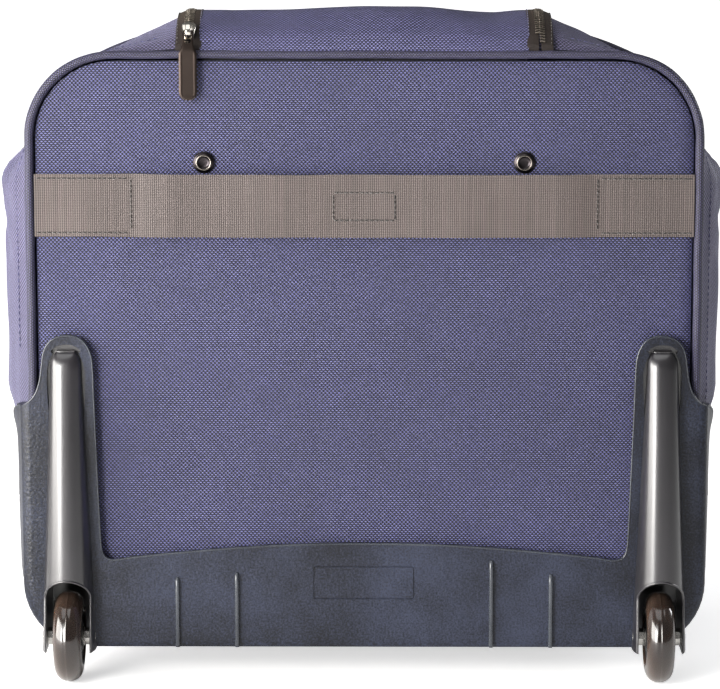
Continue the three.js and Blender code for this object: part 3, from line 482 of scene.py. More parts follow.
def prism(points, lo, hi, axis="y"):
    """Closed prism: outline in the two other axes (x,z for y; x,y for z; y,z for x)."""
    points = list(points)
    count = len(points)
    put = {"y": lambda a, b, c: (a, c, b), "z": lambda a, b, c: (a, b, c),
           "x": lambda a, b, c: (c, a, b)}[axis]
    verts = [put(a, b, c) for c in (lo, hi) for a, b in points]
    faces = [tuple(range(count)), tuple(range(2 * count - 1, count - 1, -1))]
    for i in range(count):
        after = (i + 1) % count
        faces.append((i, after, count + after, count + i))
    return mesh_obj("cutter", verts, faces)


def box(x0, x1, y0, y1, z0, z1):
    return prism([(x0, y0), (x1, y0), (x1, y1), (x0, y1)], z0, z1, "z")


def lathe(name, profile, axis, centre, mats=(), n=72, angle=35):
    """profile [(radius, along)], open with ends on the axis, or a closed loop."""
    on_axis = profile[0][0] < 1e-6 and profile[-1][0] < 1e-6
    cx, cy, cz = centre
    put = {"x": lambda h, c, s: (cx + h, cy + c, cz + s),
           "y": lambda h, c, s: (cx + c, cy + h, cz + s),
           "z": lambda h, c, s: (cx + c, cy + s, cz + h)}[axis]
    verts, faces = [], []
    for r, h in profile:
        for k in range(n):
            a = 2 * PI * k / n
            verts.append(put(h, r * math.cos(a), r * math.sin(a)))
    count = len(profile)
    for i in range(count - 1 if on_axis else count):
        i2 = (i + 1) % count
        for k in range(n):
            k2 = (k + 1) % n
            faces.append((i * n + k, i2 * n + k, i2 * n + k2, i * n + k2))
    return mesh_obj(name, verts, faces, mats, merge=1e-3, angle=angle)


def boolean(obj, cutters, op="DIFFERENCE", angle=40):
    """Combines obj with closed meshes and removes them."""
    for cutter in cutters if isinstance(cutters, list) else [cutters]:
        if not len(cutter.data.materials):
            for mat in obj.data.materials:
                cutter.data.materials.append(mat)
        # MANIFOLD can give nothing, or leave an intersection undone; EXACT then takes over
        for solver in ("MANIFOLD", "EXACT"):
            mod = obj.modifiers.new("b", "BOOLEAN")
            mod.object, mod.operation, mod.solver = cutter, op, solver
            depsgraph = bpy.context.evaluated_depsgraph_get()
            me = bpy.data.meshes.new_from_object(obj.evaluated_get(depsgraph), depsgraph=depsgraph)
            obj.modifiers.remove(mod)
            unchanged = len(me.polygons) == len(obj.data.polygons)
            undone = solver == "MANIFOLD" and unchanged and op == "INTERSECT"
            if len(me.polygons) and not undone:
                break
        else:
            raise RuntimeError("boolean on " + obj.name + " left nothing")
        old = obj.data
        me.name = obj.name
        obj.data = me
        bpy.data.meshes.remove(old)
        bpy.data.objects.remove(cutter)
    shade(obj, angle)
    return obj


def join(name, objs, angle):
    """One mesh object from several, keeping materials and UVs."""
    mats, verts, faces, slots, uvs = [], [], [], [], []
    base = 0
    for obj in objs:
        me = obj.data
        index = []
        for mat in me.materials:
            if mat not in mats:
                mats.append(mat)
            index.append(mats.index(mat))
        verts.append(get_points(me))
        layer = me.uv_layers.active
        for poly in me.polygons:
            faces.append([base + v for v in poly.vertices])
            slots.append(index[poly.material_index])
            for loop in poly.loop_indices:
                uvs.append(tuple(layer.data[loop].uv) if layer else (0.0, 0.0))
        base += len(me.vertices)
    for obj in objs:
        bpy.data.objects.remove(obj)
    return mesh_obj(name, np.vstack(verts), faces, mats, slots, uvs, angle, recalc=False)


# Rings of a thread bead: (share of its length, share of its radius, dip in radii)
BEAD = ((0, 0.25, 0.55), (0.18, 0.85, 0.12), (0.5, 1.0, 0.0), (0.82, 0.85, 0.12), (1, 0.25, 0.55))


def stitches(name, rows, thread, radius, length=2.7, gap=1.3):
    """Rows of thread beads; each row is a path with its normal, one vector or one per point."""
    verts, faces = [], []
    for path, normal in rows:
        line = resample(path, 0.9)
        normals = np.asarray(normal, float)
        if normals.ndim == 1:
            normals = np.tile(normals, (len(line), 1))
        else:
            spots = np.linspace(0, 1, len(line))
            normals = along(normals, np.linspace(0, 1, len(normals)), spots)
        run = run_length(line)
        start = gap
        while start + length < run[-1]:
            base = len(verts)
            for share, size, dip in BEAD:
                q = start + length * share
                tangent = unit(along(line, run, q + 0.3) - along(line, run, q - 0.3))
                up = along(normals, run, q)
                up = unit(up - tangent * (up @ tangent))
                side = np.cross(tangent, up)
                middle = along(line, run, q) + up * (radius * 0.45 - dip * radius)
                for a in np.linspace(0, 2 * PI, 6, endpoint=False):
                    spoke = side * math.cos(a) + up * math.sin(a)
                    verts.append(middle + spoke * radius * size)
            for i in range(4):
                for j in range(6):
                    a, b = base + i * 6 + j, base + i * 6 + (j + 1) % 6
                    faces.append((a, b, b + 6, a + 6))
            faces.append(tuple(base + j for j in reversed(range(6))))
            faces.append(tuple(base + 24 + j for j in range(6)))
            start += length + gap
    return mesh_obj(name, verts, faces, [thread], angle=80)


def teeth(name, centre, normal, side, phase, pitch=2.2, size=(1.0, 1.9, 1.1)):
    """Row of zip teeth: bevelled blocks of size (width, reach, height) along centre.

    With side 1 each tooth's head lies towards cross(normal, tangent), with -1 away from it.
    """
    run = run_length(centre)
    width, reach, high = size
    # blocks of a tooth: from, to (across), half width share, foot, height
    blocks = (
        (-reach, -reach * 0.35, 0.5, -0.1, high * 0.7),
        (-reach * 0.35, 0.35 * reach, 0.36, 0.0, high),
        (0.35 * reach, 0.62 * reach, 0.52, 0.05, high * 0.95),
    )
    verts, faces = [], []
    spot = 1.0 + phase
    while spot < run[-1] - 1.0:
        middle = along(centre, run, spot)
        tangent = unit(along(centre, run, spot + 0.4) - along(centre, run, spot - 0.4))
        up = unit(along(normal, run, spot))
        across = unit(np.cross(up, tangent) * side)
        for start, end, half, foot, top in blocks:
            base = len(verts)
            section = ((-half, foot), (half, foot), (half, top * 0.7), (half * 0.55, top),
                       (-half * 0.55, top), (-half, top * 0.7))
            for u in (start, end):
                for x, z in section:
                    verts.append(middle + across * u + tangent * (x * width) + up * z)
            for j in range(6):
                after = base + (j + 1) % 6
                faces.append((base + j, after, after + 6, base + 6 + j))
            faces.append(tuple(base + j for j in reversed(range(6))))
            faces.append(tuple(base + 6 + j for j in range(6)))
        spot += pitch
    return mesh_obj(name, verts, faces, [TEETH], angle=30)


# ------------------------------------------------------------------- materials
def lin(color):
    """Linear RGBA from sRGB 0..255."""
    shares = (v / 255 for v in color)
    return tuple(s / 12.92 if s <= 0.04045 else ((s + 0.055) / 1.055) ** 2.4
                 for s in shares) + (1.0,)


class Mat:
    """A node material with small helpers; lengths in metres."""

    def __init__(self, name, rough, metallic=0.0, spec=0.5):
        self.mat = bpy.data.materials.new(name)
        self.mat.use_nodes = True
        self.tree = self.mat.node_tree
        self.bsdf = self.tree.nodes["Principled BSDF"]
        self.set("Roughness", rough)
        self.set("Metallic", metallic)
        self.set("Specular IOR Level", spec)

    def fill(self, socket, value):
        if isinstance(value, bpy.types.NodeSocket):
            self.tree.links.new(value, socket)
        else:
            socket.default_value = value

    def set(self, key, value):
        self.fill(self.bsdf.inputs[key], value)

    def node(self, kind, inputs=None, **props):
        made = self.tree.nodes.new(kind)
        for key, value in props.items():
            setattr(made, key, value)
        for key, value in (inputs or {}).items():
            self.fill(made.inputs[key], value)
        return made

    def math(self, op, a, b=0.0, clamp=False):
        made = self.node("ShaderNodeMath", {0: a, 1: b, 2: 0.0}, operation=op, use_clamp=clamp)
        return made.outputs[0]

    def add(self, a, b):
        return self.math("ADD", a, b)

    def sub(self, a, b, clamp=False):
        return self.math("SUBTRACT", a, b, clamp)

    def mul(self, a, b):
        return self.math("MULTIPLY", a, b)

    def div(self, a, b):
        return self.math("DIVIDE", a, b)

    def spread(self, value, amount, middle=0.5):
        """Offset of a value from its middle, times amount."""
        return self.mul(self.sub(value, middle), amount)

    def off_centre(self, value):
        """Distance from the middle of a repeating cell, 0 to 0.5."""
        return self.math("ABSOLUTE", self.sub(self.math("FRACT", value), 0.5))

    def mix(self, factor, a, b):
        return self.node("ShaderNodeMix", {0: factor, 6: a, 7: b}, data_type="RGBA").outputs[2]

    def gain(self, color, value):
        """color times a value."""
        grey = self.node("ShaderNodeCombineColor", {0: value, 1: value, 2: value}).outputs[0]
        made = self.node("ShaderNodeMix", data_type="RGBA", blend_type="MULTIPLY")
        for key, item in ((0, 1.0), (6, color), (7, grey)):
            self.fill(made.inputs[key], item)
        return made.outputs[2]

    def step(self, value, lo, hi, a=0.0, b=1.0):
        inputs = {"Value": value, "From Min": lo, "From Max": hi, "To Min": a, "To Max": b}
        return self.node("ShaderNodeMapRange", inputs, interpolation_type="SMOOTHSTEP").outputs[0]

    def coords(self):
        return self.node("ShaderNodeTexCoord").outputs["Object"]

    def uv(self):
        uv_map = self.node("ShaderNodeUVMap", uv_map="UVMap").outputs[0]
        split = self.node("ShaderNodeSeparateXYZ", {0: uv_map})
        return split.outputs[0], split.outputs[1]

    def noise(self, scale, detail=2.0, rough=0.5, stretch=None):
        vec = self.coords()
        if stretch:
            vec = self.node("ShaderNodeMapping", {"Vector": vec, "Scale": stretch}).outputs[0]
        inputs = {"Vector": vec, "Scale": scale, "Detail": detail, "Roughness": rough}
        return self.node("ShaderNodeTexNoise", inputs).outputs[0]

    def cell_random(self, a, row):
        """One random value per cell."""
        cell = self.node("ShaderNodeCombineXYZ", {0: self.math("FLOOR", a), 1: row, 2: 0.0})
        inputs = {"Vector": cell.outputs[0]}
        return self.node("ShaderNodeTexWhiteNoise", inputs, noise_dimensions="3D").outputs[0]

    def bump(self, height, distance, strength=1.0, bevel=0.0):
        inputs = {"Strength": strength, "Distance": distance, "Height": height}
        if bevel:
            inputs["Normal"] = self.node("ShaderNodeBevel", {"Radius": bevel}, samples=4).outputs[0]
        self.set("Normal", self.node("ShaderNodeBump", inputs).outputs[0])


def weave(name, bright, dark, depth, sheen, rough, pitch=(2.35, 1.22), vary=0.16):
    """Woven nylon: raised yarn floats on a staggered lattice, pitch in mm on metric UVs."""
    m = Mat(name, rough=rough, spec=0.45)
    u, v = m.uv()
    # the yarns wander slightly
    drift_u = m.noise(scale=14.0)
    drift_v = m.noise(scale=11.0, rough=0.6)
    u = m.add(u, m.spread(drift_u, 0.0016))
    v = m.add(v, m.spread(drift_v, 0.0012))
    b = m.div(v, pitch[1] * MM)
    row = m.math("FLOOR", b)
    odd = m.math("FLOORED_MODULO", row, 2.0)
    a = m.add(m.div(u, pitch[0] * MM), m.mul(odd, 0.5))
    # each float is a low dome, longer across than along
    fx = m.mul(m.off_centre(a), 2.0)
    fy = m.mul(m.off_centre(b), 2.0)
    fall = m.add(m.mul(m.math("POWER", fx, 2.0), 0.95), m.mul(m.math("POWER", fy, 2.0), 0.72))
    height = m.sub(1.0, fall, clamp=True)
    mask = m.step(height, lo=0.36, hi=0.95)
    rnd = m.cell_random(a, row)
    big = m.noise(scale=9.0, detail=3.0, rough=0.62)
    mid = m.noise(scale=55.0)
    # brightness: per float, then in broad and middling patches
    gain = m.add(0.90, m.spread(rnd, vary * 1.6))
    gain = m.add(gain, m.spread(big, 0.55, middle=0.42))
    gain = m.add(gain, m.spread(mid, 0.22))
    # the dark colour in the gaps is painted shade between the floats; the bright colour on their
    # tops is partly painted highlight
    m.set("Base Color", m.gain(m.mix(mask, lin(dark), lin(bright)), gain))
    # fibres 0.22 mm apart inside each yarn
    fibre = m.math("SINE", m.mul(v, 2 * PI / 0.00022))
    relief = m.add(height, m.mul(fibre, 0.05))
    m.bump(m.add(relief, m.mul(mid, 0.4)), distance=depth, strength=0.9)
    m.set("Sheen Weight", sheen)
    m.set("Sheen Roughness", 0.45)
    m.set("Sheen Tint", lin((200, 200, 235)))
    # raised yarn is smoother than the gaps
    m.set("Roughness", m.sub(rough + 0.12, m.mul(mask, 0.2)))
    return m.mat


def webbing(name, bright, dark, pitch, depth, sheen):
    """Strap webbing: ribs of small domes on a square lattice."""
    m = Mat(name, rough=0.6, spec=0.4)
    u, v = m.uv()
    drift = m.noise(scale=22.0)
    u = m.add(u, m.spread(drift, 0.0011))
    a, b = m.div(u, pitch[0] * MM), m.div(v, pitch[1] * MM)
    fx = m.off_centre(a)
    fy = m.off_centre(b)
    fall = m.add(m.mul(m.math("POWER", fx, 2.0), 2.9), m.mul(m.math("POWER", fy, 2.0), 2.2))
    height = m.sub(1.0, fall, clamp=True)
    mask = m.step(height, lo=0.1, hi=0.85)
    rnd = m.cell_random(a, 0.0)
    big = m.noise(scale=16.0, detail=3.0)
    # brightness varies per rib and in broad patches
    gain = m.add(m.mul(rnd, 0.22), m.add(0.62, m.mul(big, 0.55)))
    # the rib tops take the bright colour and the gaps between them the dark one, as painted shade
    # between the ribs
    m.set("Base Color", m.gain(m.mix(mask, lin(dark), lin(bright)), gain))
    m.bump(height, distance=depth, strength=0.9)
    m.set("Sheen Weight", sheen)
    m.set("Roughness", m.sub(0.72, m.mul(mask, 0.2)))
    return m.mat


def tape_mat(name, base, light):
    """Zip tape: herringbone with 2.4 mm legs and ribs 0.75 mm apart."""
    m = Mat(name, rough=0.7, spec=0.3)
    u, v = m.uv()
    leg = m.off_centre(m.div(v, 0.0024))
    rib = m.math("FRACT", m.add(m.div(u, 0.00075), m.mul(leg, 2.4)))
    height = m.sub(1.0, m.math("ABSOLUTE", m.sub(m.mul(rib, 2.0), 1.0)))
    big = m.noise(scale=30.0, detail=3.0)
    # ribs lighter, valleys darker: painted shade in the herringbone
    color = m.mix(m.step(height, lo=0.2, hi=0.9), lin(base), lin(light))
    m.set("Base Color", m.gain(color, m.add(0.65, m.mul(big, 0.7))))
    m.bump(height, distance=0.00014, strength=0.8)
    m.set("Sheen Weight", 0.12)
    m.set("Sheen Tint", lin((190, 170, 150)))
    return m.mat


def grain(name, base, light, rough, scale, depth, spec=0.5, bevel=0.0006, coat=0.0):
    """Moulded plastic with a fine grain, darker and lighter patches, rubbed high spots."""
    wear = 0.12  # spread of the roughness
    m = Mat(name, rough=rough, spec=spec)
    cells = m.node("ShaderNodeTexVoronoi", {"Vector": m.coords(), "Scale": scale},
                   feature="SMOOTH_F1").outputs[0]
    fine = m.noise(scale=scale * 1.7)
    big = m.noise(scale=13.0, detail=4.0, rough=0.65)
    rub = m.noise(scale=60.0, detail=4.0, stretch=(1.0, 1.0, 0.35))
    patches = m.add(m.mul(fine, 0.5), m.mul(big, 0.5))
    color = m.mix(m.step(patches, lo=0.38, hi=0.66), lin(base), lin(light))
    m.set("Base Color", m.gain(color, m.add(0.82, m.mul(rub, 0.36))))
    m.set("Roughness", m.add(rough - wear / 2, m.mul(m.add(rub, fine), wear / 2)))
    m.set("Coat Weight", coat)
    m.set("Coat Roughness", 0.21)
    m.set("Coat IOR", 1.62)
    m.bump(m.add(cells, m.mul(fine, 0.6)), distance=depth, strength=0.8, bevel=bevel)
    return m.mat


def metal(name, base, rough, wear, brush=None, scale=400.0, metallic=1.0):
    """Metal with uneven roughness; brush stretches the fine noise."""
    m = Mat(name, rough=rough, metallic=metallic)
    fine = m.noise(scale=scale, detail=3.0, stretch=brush)
    big = m.noise(scale=45.0, detail=4.0, rough=0.7)
    m.set("Base Color", m.gain(lin(base), m.add(0.8, m.mul(big, 0.4))))
    uneven = m.mul(m.add(m.mul(fine, 0.5), m.mul(big, 0.5)), wear)
    m.set("Roughness", m.add(max(0.02, rough - wear / 2), uneven))
    m.bump(fine, distance=0.00002, strength=0.6, bevel=0.0003)
    return m.mat


def fuzz(name, base, light, scale=1500.0, depth=0.0005):
    """Hairy surface for threads and hook-and-loop."""
    m = Mat(name, rough=0.95, spec=0.2)
    fine = m.noise(scale=scale, detail=3.0, rough=0.8)
    inputs = {"Vector": m.coords(), "Scale": scale * 0.55}
    cells = m.node("ShaderNodeTexVoronoi", inputs).outputs[0]
    tuft = m.step(m.add(fine, m.mul(cells, 0.4)), lo=0.4, hi=0.9)
    m.set("Base Color", m.mix(tuft, lin(base), lin(light)))
    m.set("Sheen Weight", 0.6)
    m.bump(m.add(fine, cells), distance=depth)
    return m.mat


def tyre_material():
    """Dark translucent polyurethane: glossy coat over a smoky brown core."""
    m = Mat("wheel_polyurethane", rough=0.16, spec=0.6)
    fine = m.noise(scale=70.0, detail=4.0, rough=0.7)
    swirl = m.noise(scale=18.0, detail=3.0)
    # lighter brown towards grazing angles: a painted glow at the rim, standing in for light through
    # the translucent edge
    facing = m.node("ShaderNodeLayerWeight", {"Blend": 0.35}).outputs[1]
    color = m.mix(facing, lin((24, 16, 13)), lin((88, 72, 62)))
    m.set("Base Color", m.gain(color, m.add(0.7, m.mul(swirl, 0.6))))
    m.set("Coat Weight", 0.7)
    m.set("Coat Roughness", 0.05)
    m.set("Subsurface Weight", 0.12)
    m.set("Subsurface Radius", (0.006, 0.003, 0.002))
    m.set("Roughness", m.add(0.1, m.mul(fine, 0.2)))
    m.bump(fine, distance=0.00008, strength=0.5)
    return m.mat


NYLON_REAR = weave("nylon_rear", bright=(92, 93, 140), dark=(3, 3, 21),
                   depth=0.00036, sheen=0.06, rough=0.42)
NYLON_SIDE = weave("nylon_side", bright=(110, 104, 140), dark=(5, 5, 26),
                   depth=0.00036, sheen=0.34, rough=0.42)
# a lighter copy of the rear nylon for the top flap: painted light on the top
NYLON_TOP = weave("nylon_top", bright=(112, 111, 158), dark=(5, 5, 34),
                  depth=0.00036, sheen=0.1, rough=0.42)
# a finer weave, darker than the rear nylon: partly its own tone, partly painted shade on the cord
PIPING = weave("nylon_piping", bright=(80, 77, 110), dark=(4, 4, 14), pitch=(1.7, 1.2),
               depth=0.00026, sheen=0.06, rough=0.34)
LINING = weave("lining_cloth", bright=(96, 98, 108), dark=(58, 60, 68), pitch=(0.9, 0.6),
               depth=0.00008, sheen=0.15, rough=0.7, vary=0.05)
STRAP = webbing("strap_webbing", bright=(98, 88, 85), dark=(30, 25, 25), pitch=(1.3, 1.0),
                depth=0.00022, sheen=0.12)
TAPE = tape_mat("zip_tape", base=(20, 15, 14), light=(44, 36, 33))
TAPE_NAVY = tape_mat("zip_tape_navy", base=(14, 14, 26), light=(34, 34, 58))
THREAD_BROWN = fuzz("thread_brown", base=(14, 10, 9), light=(38, 30, 25),
                    scale=2500.0, depth=0.0001)
THREAD_NAVY = fuzz("thread_navy", base=(26, 26, 52), light=(70, 70, 112),
                   scale=2500.0, depth=0.0001)
PLATE = grain("base_moulding", base=(9, 11, 19), light=(44, 49, 66),
              rough=0.36, scale=520.0, depth=0.0002, spec=0.38, bevel=0.0)
# lighter copy of the moulding for its rolled edge and ribs: painted highlight on the edges
PLATE_HIGHLIGHT = grain("base_moulding_painted_highlight", base=(36, 39, 46), light=(66, 70, 76),
                   rough=0.24, scale=1200.0, depth=0.00004, spec=0.6, bevel=0.0)
HOUSING = grain("housing_satin", base=(18, 16, 20), light=(31, 28, 33),
                rough=0.36, scale=1600.0, depth=0.00004, spec=0.6, bevel=0.0, coat=0.9)
BLACK = grain("black_nylon", base=(26, 26, 29), light=(48, 48, 52),
              rough=0.42, scale=1100.0, depth=0.00008)
BOARD = grain("pressed_board", base=(40, 40, 46), light=(62, 62, 70),
              rough=0.75, scale=500.0, depth=0.0002)
RUBBER = grain("soft_rubber", base=(22, 22, 24), light=(42, 42, 44),
               rough=0.7, scale=1300.0, depth=0.00014, spec=0.35)
LOOP = fuzz("hook_and_loop", base=(30, 27, 27), light=(70, 64, 64))
NICKEL = metal("bright_nickel", base=(214, 208, 198), rough=0.14, wear=0.16)
TEETH = metal("zip_teeth", base=(128, 120, 110), rough=0.28, wear=0.2)
BRONZE = metal("dark_bronze", base=(54, 46, 42), rough=0.34, wear=0.22, metallic=0.85)
BRONZE_RIM = metal("bronze_rim", base=(190, 178, 164), rough=0.22, wear=0.2)
GUNMETAL = metal("gunmetal", base=(58, 54, 56), rough=0.3, wear=0.2)
GUNMETAL_RING = metal("gunmetal_ring", base=(118, 112, 106), rough=0.24, wear=0.16)
STEEL = metal("turned_steel", base=(190, 188, 184), rough=0.24, wear=0.15,
              brush=(1.0, 12.0, 12.0))
ALUMINIUM = metal("drawn_aluminium", base=(176, 178, 182), rough=0.3, wear=0.15,
                  brush=(14.0, 14.0, 0.6), scale=260.0)
POLYURETHANE = tyre_material()

replaced = set()


def piece(obj, body, slot, *nodes, bends=False):
    """Hands a piece to the frame's body; a bending one only has its transform baked in and is not
    attached to a body.
    """
    if bends:
        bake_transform(obj)
    else:
        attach(obj, body)
    if nodes:
        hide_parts(*nodes)
        replaced.update(nodes)


def well_cutters():
    """Boxes that clear the two wheel wells."""
    half = 16.5 + 0.6
    return [box(s * WHEEL_X - half, s * WHEEL_X + half, -140, -54.6, -5, 70.1) for _, s in SIDES]


# ------------------------------------------------------------------ soft body
def body_grid():
    """Rings from the rear edge forward, closing in to the middle of the front face."""
    stations = np.concatenate([
        np.linspace(REAR_Y, -10, 44, endpoint=False),
        np.linspace(-10, NOSE_Y, 30, endpoint=False),
        NOSE_Y + NOSE_DEPTH * np.sin(np.linspace(0, PI / 2, 13)),
    ])
    rows = [ring(y) for y in stations]
    front = rows[-1]
    centre = np.array([0, FRONT_Y, 205.0])
    for k in (0.985, 0.95, 0.9, 0.82, 0.72, 0.6, 0.48, 0.36, 0.24, 0.12, 0.0):
        row = centre + (front - centre) * k
        row[:, 1] = FRONT_Y - 0.4 * (1 - k)
        rows.append(row)
    return np.stack(rows, 1)


def crease(grid):
    """Displacement of the cloth along its normals."""
    x, y, z = grid[..., 0], grid[..., 1], grid[..., 2]
    side = smooth(170, 205, np.abs(x)) * smooth(-80, -60, y) * (1 - smooth(62, 88, y))
    top = smooth(370, 384, z) * smooth(-80, -70, y) * (1 - smooth(30, 46, y))
    top = top * smooth(112, 128, np.abs(x))
    # hanging folds in the gusset, running down from the shoulders, and soft dents in the top
    fold = np.sin((y + 0.16 * (z - 387) + 9 * wobble(x, y, z, 70, 1.3)) / 7.6)
    fold = fold * smooth(120, 330, z)
    dents = wobble(x, y, z, 46, 2.7)
    disp = side * (1.5 * fold * smooth(60, 240, z) + 1.4 * dents - 1.2)
    disp = disp + top * (1.6 * wobble(x, y, z, 30, 5.1) - 0.9)
    # two diagonal pinches below each shoulder
    pinch = np.exp(-((z - (301 + 0.85 * (y + 55))) / 5.5) ** 2)
    pinch = pinch + 0.7 * np.exp(-((z - (262 + 0.5 * (y + 55))) / 7.0) ** 2)
    disp = disp - 2.6 * side * pinch * smooth(-74, -50, y) * (1 - smooth(20, 44, y))
    # held flat along the main zip
    return disp * (1 - 0.85 * smooth(38, 45, y) * (1 - smooth(59, 66, y)))


def build_soft_body():
    grid = body_grid()
    normals = grid_normals(grid, True)
    outward = 1 if np.sum(normals[:, 5] * (grid[:, 5] - [0, -60, MID_Z])) > 0 else -1
    cloth = grid + normals * outward * crease(grid)[..., None]
    # the top dips towards the rear seam
    cloth[..., 2] -= 2.2 * (1 - smooth(REAR_Y, -75.5, grid[..., 1])) * smooth(330, 383, grid[..., 2])
    # V follows the creased cloth, held near the smooth length
    steps = np.linalg.norm(np.diff(cloth, axis=1), axis=2)
    lengths = np.concatenate([np.zeros((len(cloth), 1)), np.cumsum(steps, 1)], 1)
    lengths = np.minimum(lengths, arclen(grid, 1)[None, :] + 12)
    lengths = np.vstack([lengths, lengths[:1]])
    around = np.broadcast_to(arclen(grid, 0, True)[:, None], lengths.shape)
    body = shell("body_fabric", cloth, [NYLON_SIDE, LINING], thick=2.4, sign=outward,
                 periodic=True, uv=(around, lengths), angle=55, merge=0.02)
    front = body.copy()
    front.data = body.data.copy()
    front.name = "front_fabric"
    link(front)

    flap_opening = prism(round_rect(-99.5, 99.5, -79.5, -13, 14), 360, 430, "z")
    front_room = box(-300, 300, SPLIT_Y, 140, SILL_Z - 0.3, 430)
    boolean(body, [front_room, flap_opening] + well_cutters(), angle=50)
    piece(body, "case_body", "fabric_side", "body_shell")
    rear_room = box(-300, 300, -200, SPLIT_Y + 0.6, -50, 500)
    below_sill = box(-300, 300, -200, 200, -50, SILL_Z + 0.3)
    boolean(front, [rear_room, below_sill], angle=50)
    piece(front, "front_section", "fabric_side", "front_section")


# ------------------------------------------------------------------ rear panel
def build_rear_panel():
    half_w, low, high = 198.3, 27, 380.9
    r_low, r_high, r_edge = 39, 47.4, 45
    # the grid, its rows as wide as the rounded outline
    a = np.linspace(0, PI / 2, 12)
    heights = np.concatenate([
        low + r_low * (1 - np.cos(a)),
        np.linspace(low + r_low, high - r_high, 100)[1:-1],
        high - r_high + r_high * np.sin(a),
    ])
    low_arc = np.sqrt(np.maximum(0, r_low**2 - (low + r_low - heights) ** 2))
    high_arc = np.sqrt(np.maximum(0, r_high**2 - (heights - high + r_high) ** 2))
    widths = np.where(heights < low + r_low, half_w - r_low + low_arc,
                      np.where(heights > high - r_high, half_w - r_high + high_arc, half_w))
    across = np.linspace(-1, 1, 130)
    across = np.sign(across) * (1 - (1 - np.abs(across)) ** 1.25)
    x = across[:, None] * widths[None, :]
    z = np.broadcast_to(heights[None, :], x.shape).copy()
    # distance in from the edge of a rounded rectangle
    dx = np.abs(x) - (half_w - r_edge)
    dz = np.abs(z - (low + high) / 2) - ((high - low) / 2 - r_edge)
    corner = np.sqrt(np.maximum(dx, 0) ** 2 + np.maximum(dz, 0) ** 2)
    edge = -(corner + np.minimum(np.maximum(dx, dz), 0) - r_edge)
    # turned in at the edge, slightly domed and uneven, pulled in at the rivets
    y = -84 + 1.7 * np.exp(-np.maximum(edge, 0) / 3.0) - 0.35 * smooth(5, 60, edge)
    y = y - 0.35 * wobble(x, 0 * x, z, 60, 0.4)
    y = y + 0.5 * np.exp(-(((np.abs(x) - RIVET_X) ** 2 + (z - RIVET_Z) ** 2) / 90.0))
    outer = np.stack([x, y, z], 2)
    inner = np.stack([x, np.full_like(x, -81.2), z], 2)
    panel = shell("rear_panel", outer, [NYLON_REAR, LINING], inner=inner, uv=(x, z), angle=60)
    boolean(panel, well_cutters(), angle=60)
    piece(panel, "case_body", "fabric_rear", "back_panel")


def build_rear_piping():
    half_w, high, r, y = 201.9, 384.8, 51, -84
    half = [(half_w, y, z) for z in np.arange(100, high - r, 4.0)]
    half += [(half_w - r + r * math.cos(a), y, high - r + r * math.sin(a))
             for a in np.linspace(0, PI / 2, 30)]
    half += [(x, y, high) for x in np.linspace(half_w - r, 0, 30)[1:]]
    half = np.array(half)
    path = resample(np.vstack([half, half[::-1][1:] * [-1, 1, 1]]), 2.5)
    path[:, 0] += 0.35 * wobble(path[:, 0], path[:, 1], path[:, 2], 34, 8.0)
    path[:, 2] += 0.35 * wobble(path[:, 0], path[:, 1], path[:, 2], 30, 9.0)
    # thinner along the top, as if pressed down
    uneven = 1 + 0.05 * wobble(path[:, 0], path[:, 1], path[:, 2], 9, 4.0)
    scale = uneven * (1 - 0.14 * smooth(375, 384, path[:, 2]))
    cord = tube("rear_piping_cord", path, oval(2.75, 2.75, 18), [PIPING], scale=scale)
    piece(cord, "case_body", "piping", "rear_piping")


# --------------------------------------------------------- main zip and seams
def build_main_zip():
    low, high, crown = 0.2, 1.7, 0.3  # tape heights above the cloth
    line, normals = ring_line(SPLIT_Y, 0, 70, 3.0)
    for name, y0, y1, body, node in (
        ("main_tape_rear", 46.6, 51.7, "case_body", "main_zip_tape_body"),
        ("main_tape_front", 52.8, 57.8, "front_section", "main_zip_tape_front"),
    ):
        columns = []
        for k, y in enumerate(np.linspace(y0, y1, 5)):
            column = line + normals * (high + crown * math.sin(PI * k / 4) - crown)
            column[:, 1] = y
            columns.append(column)
        outer = np.stack(columns, 1)
        inner = outer - normals[:, None, :] * (high - low)
        piece(shell(name, outer, [TAPE_NAVY], inner=inner), body, "zip_tape", node)

    line, normals = ring_line(SPLIT_Y, 1.5, 74, 1.2)
    for name, body, y, side, phase in (
        ("main_teeth_rear", "case_body", 51.3, -1, 0.0),
        ("main_teeth_front", "front_section", 53.6, 1, 1.1),
    ):
        centre = line.copy()
        centre[:, 1] = y
        piece(teeth(name, centre, normals, side, phase), body, "zip_metal")


def build_gusset_stitching():
    """A row near the rear seam, left out beside the flap, and a row by the main zip."""
    line, normals = ring_line(-72.5, 0.0, 150, 2.0)
    kept = np.where(~((np.abs(line[:, 0]) < 122) & (line[:, 2] > 370)))[0]
    parts = np.split(kept, np.where(np.diff(kept) > 1)[0] + 1)
    rows = [(line[part], normals[part]) for part in parts if len(part) > 4]
    rows.append(ring_line(44.5, 0.35, 74, 2.0))
    piece(stitches("gusset_stitching", rows, THREAD_NAVY, radius=0.38), "case_body", "piping")


def build_front_piping():
    """Starts and ends at MID_Z on the left and runs straight across near the bottom."""
    path = ring(92.0, 3.4)
    path = resample(by_angle(path[path[:, 2] > 68]), 2.5)
    path = path[path[:, 2] > 66]
    scale = 1 + 0.04 * wobble(path[:, 0], path[:, 1], path[:, 2], 9, 6.0)
    cord = tube("front_piping_cord", path, oval(2.45, 2.45, 16), [PIPING], scale=scale)
    piece(cord, "front_section", "piping", "front_piping")


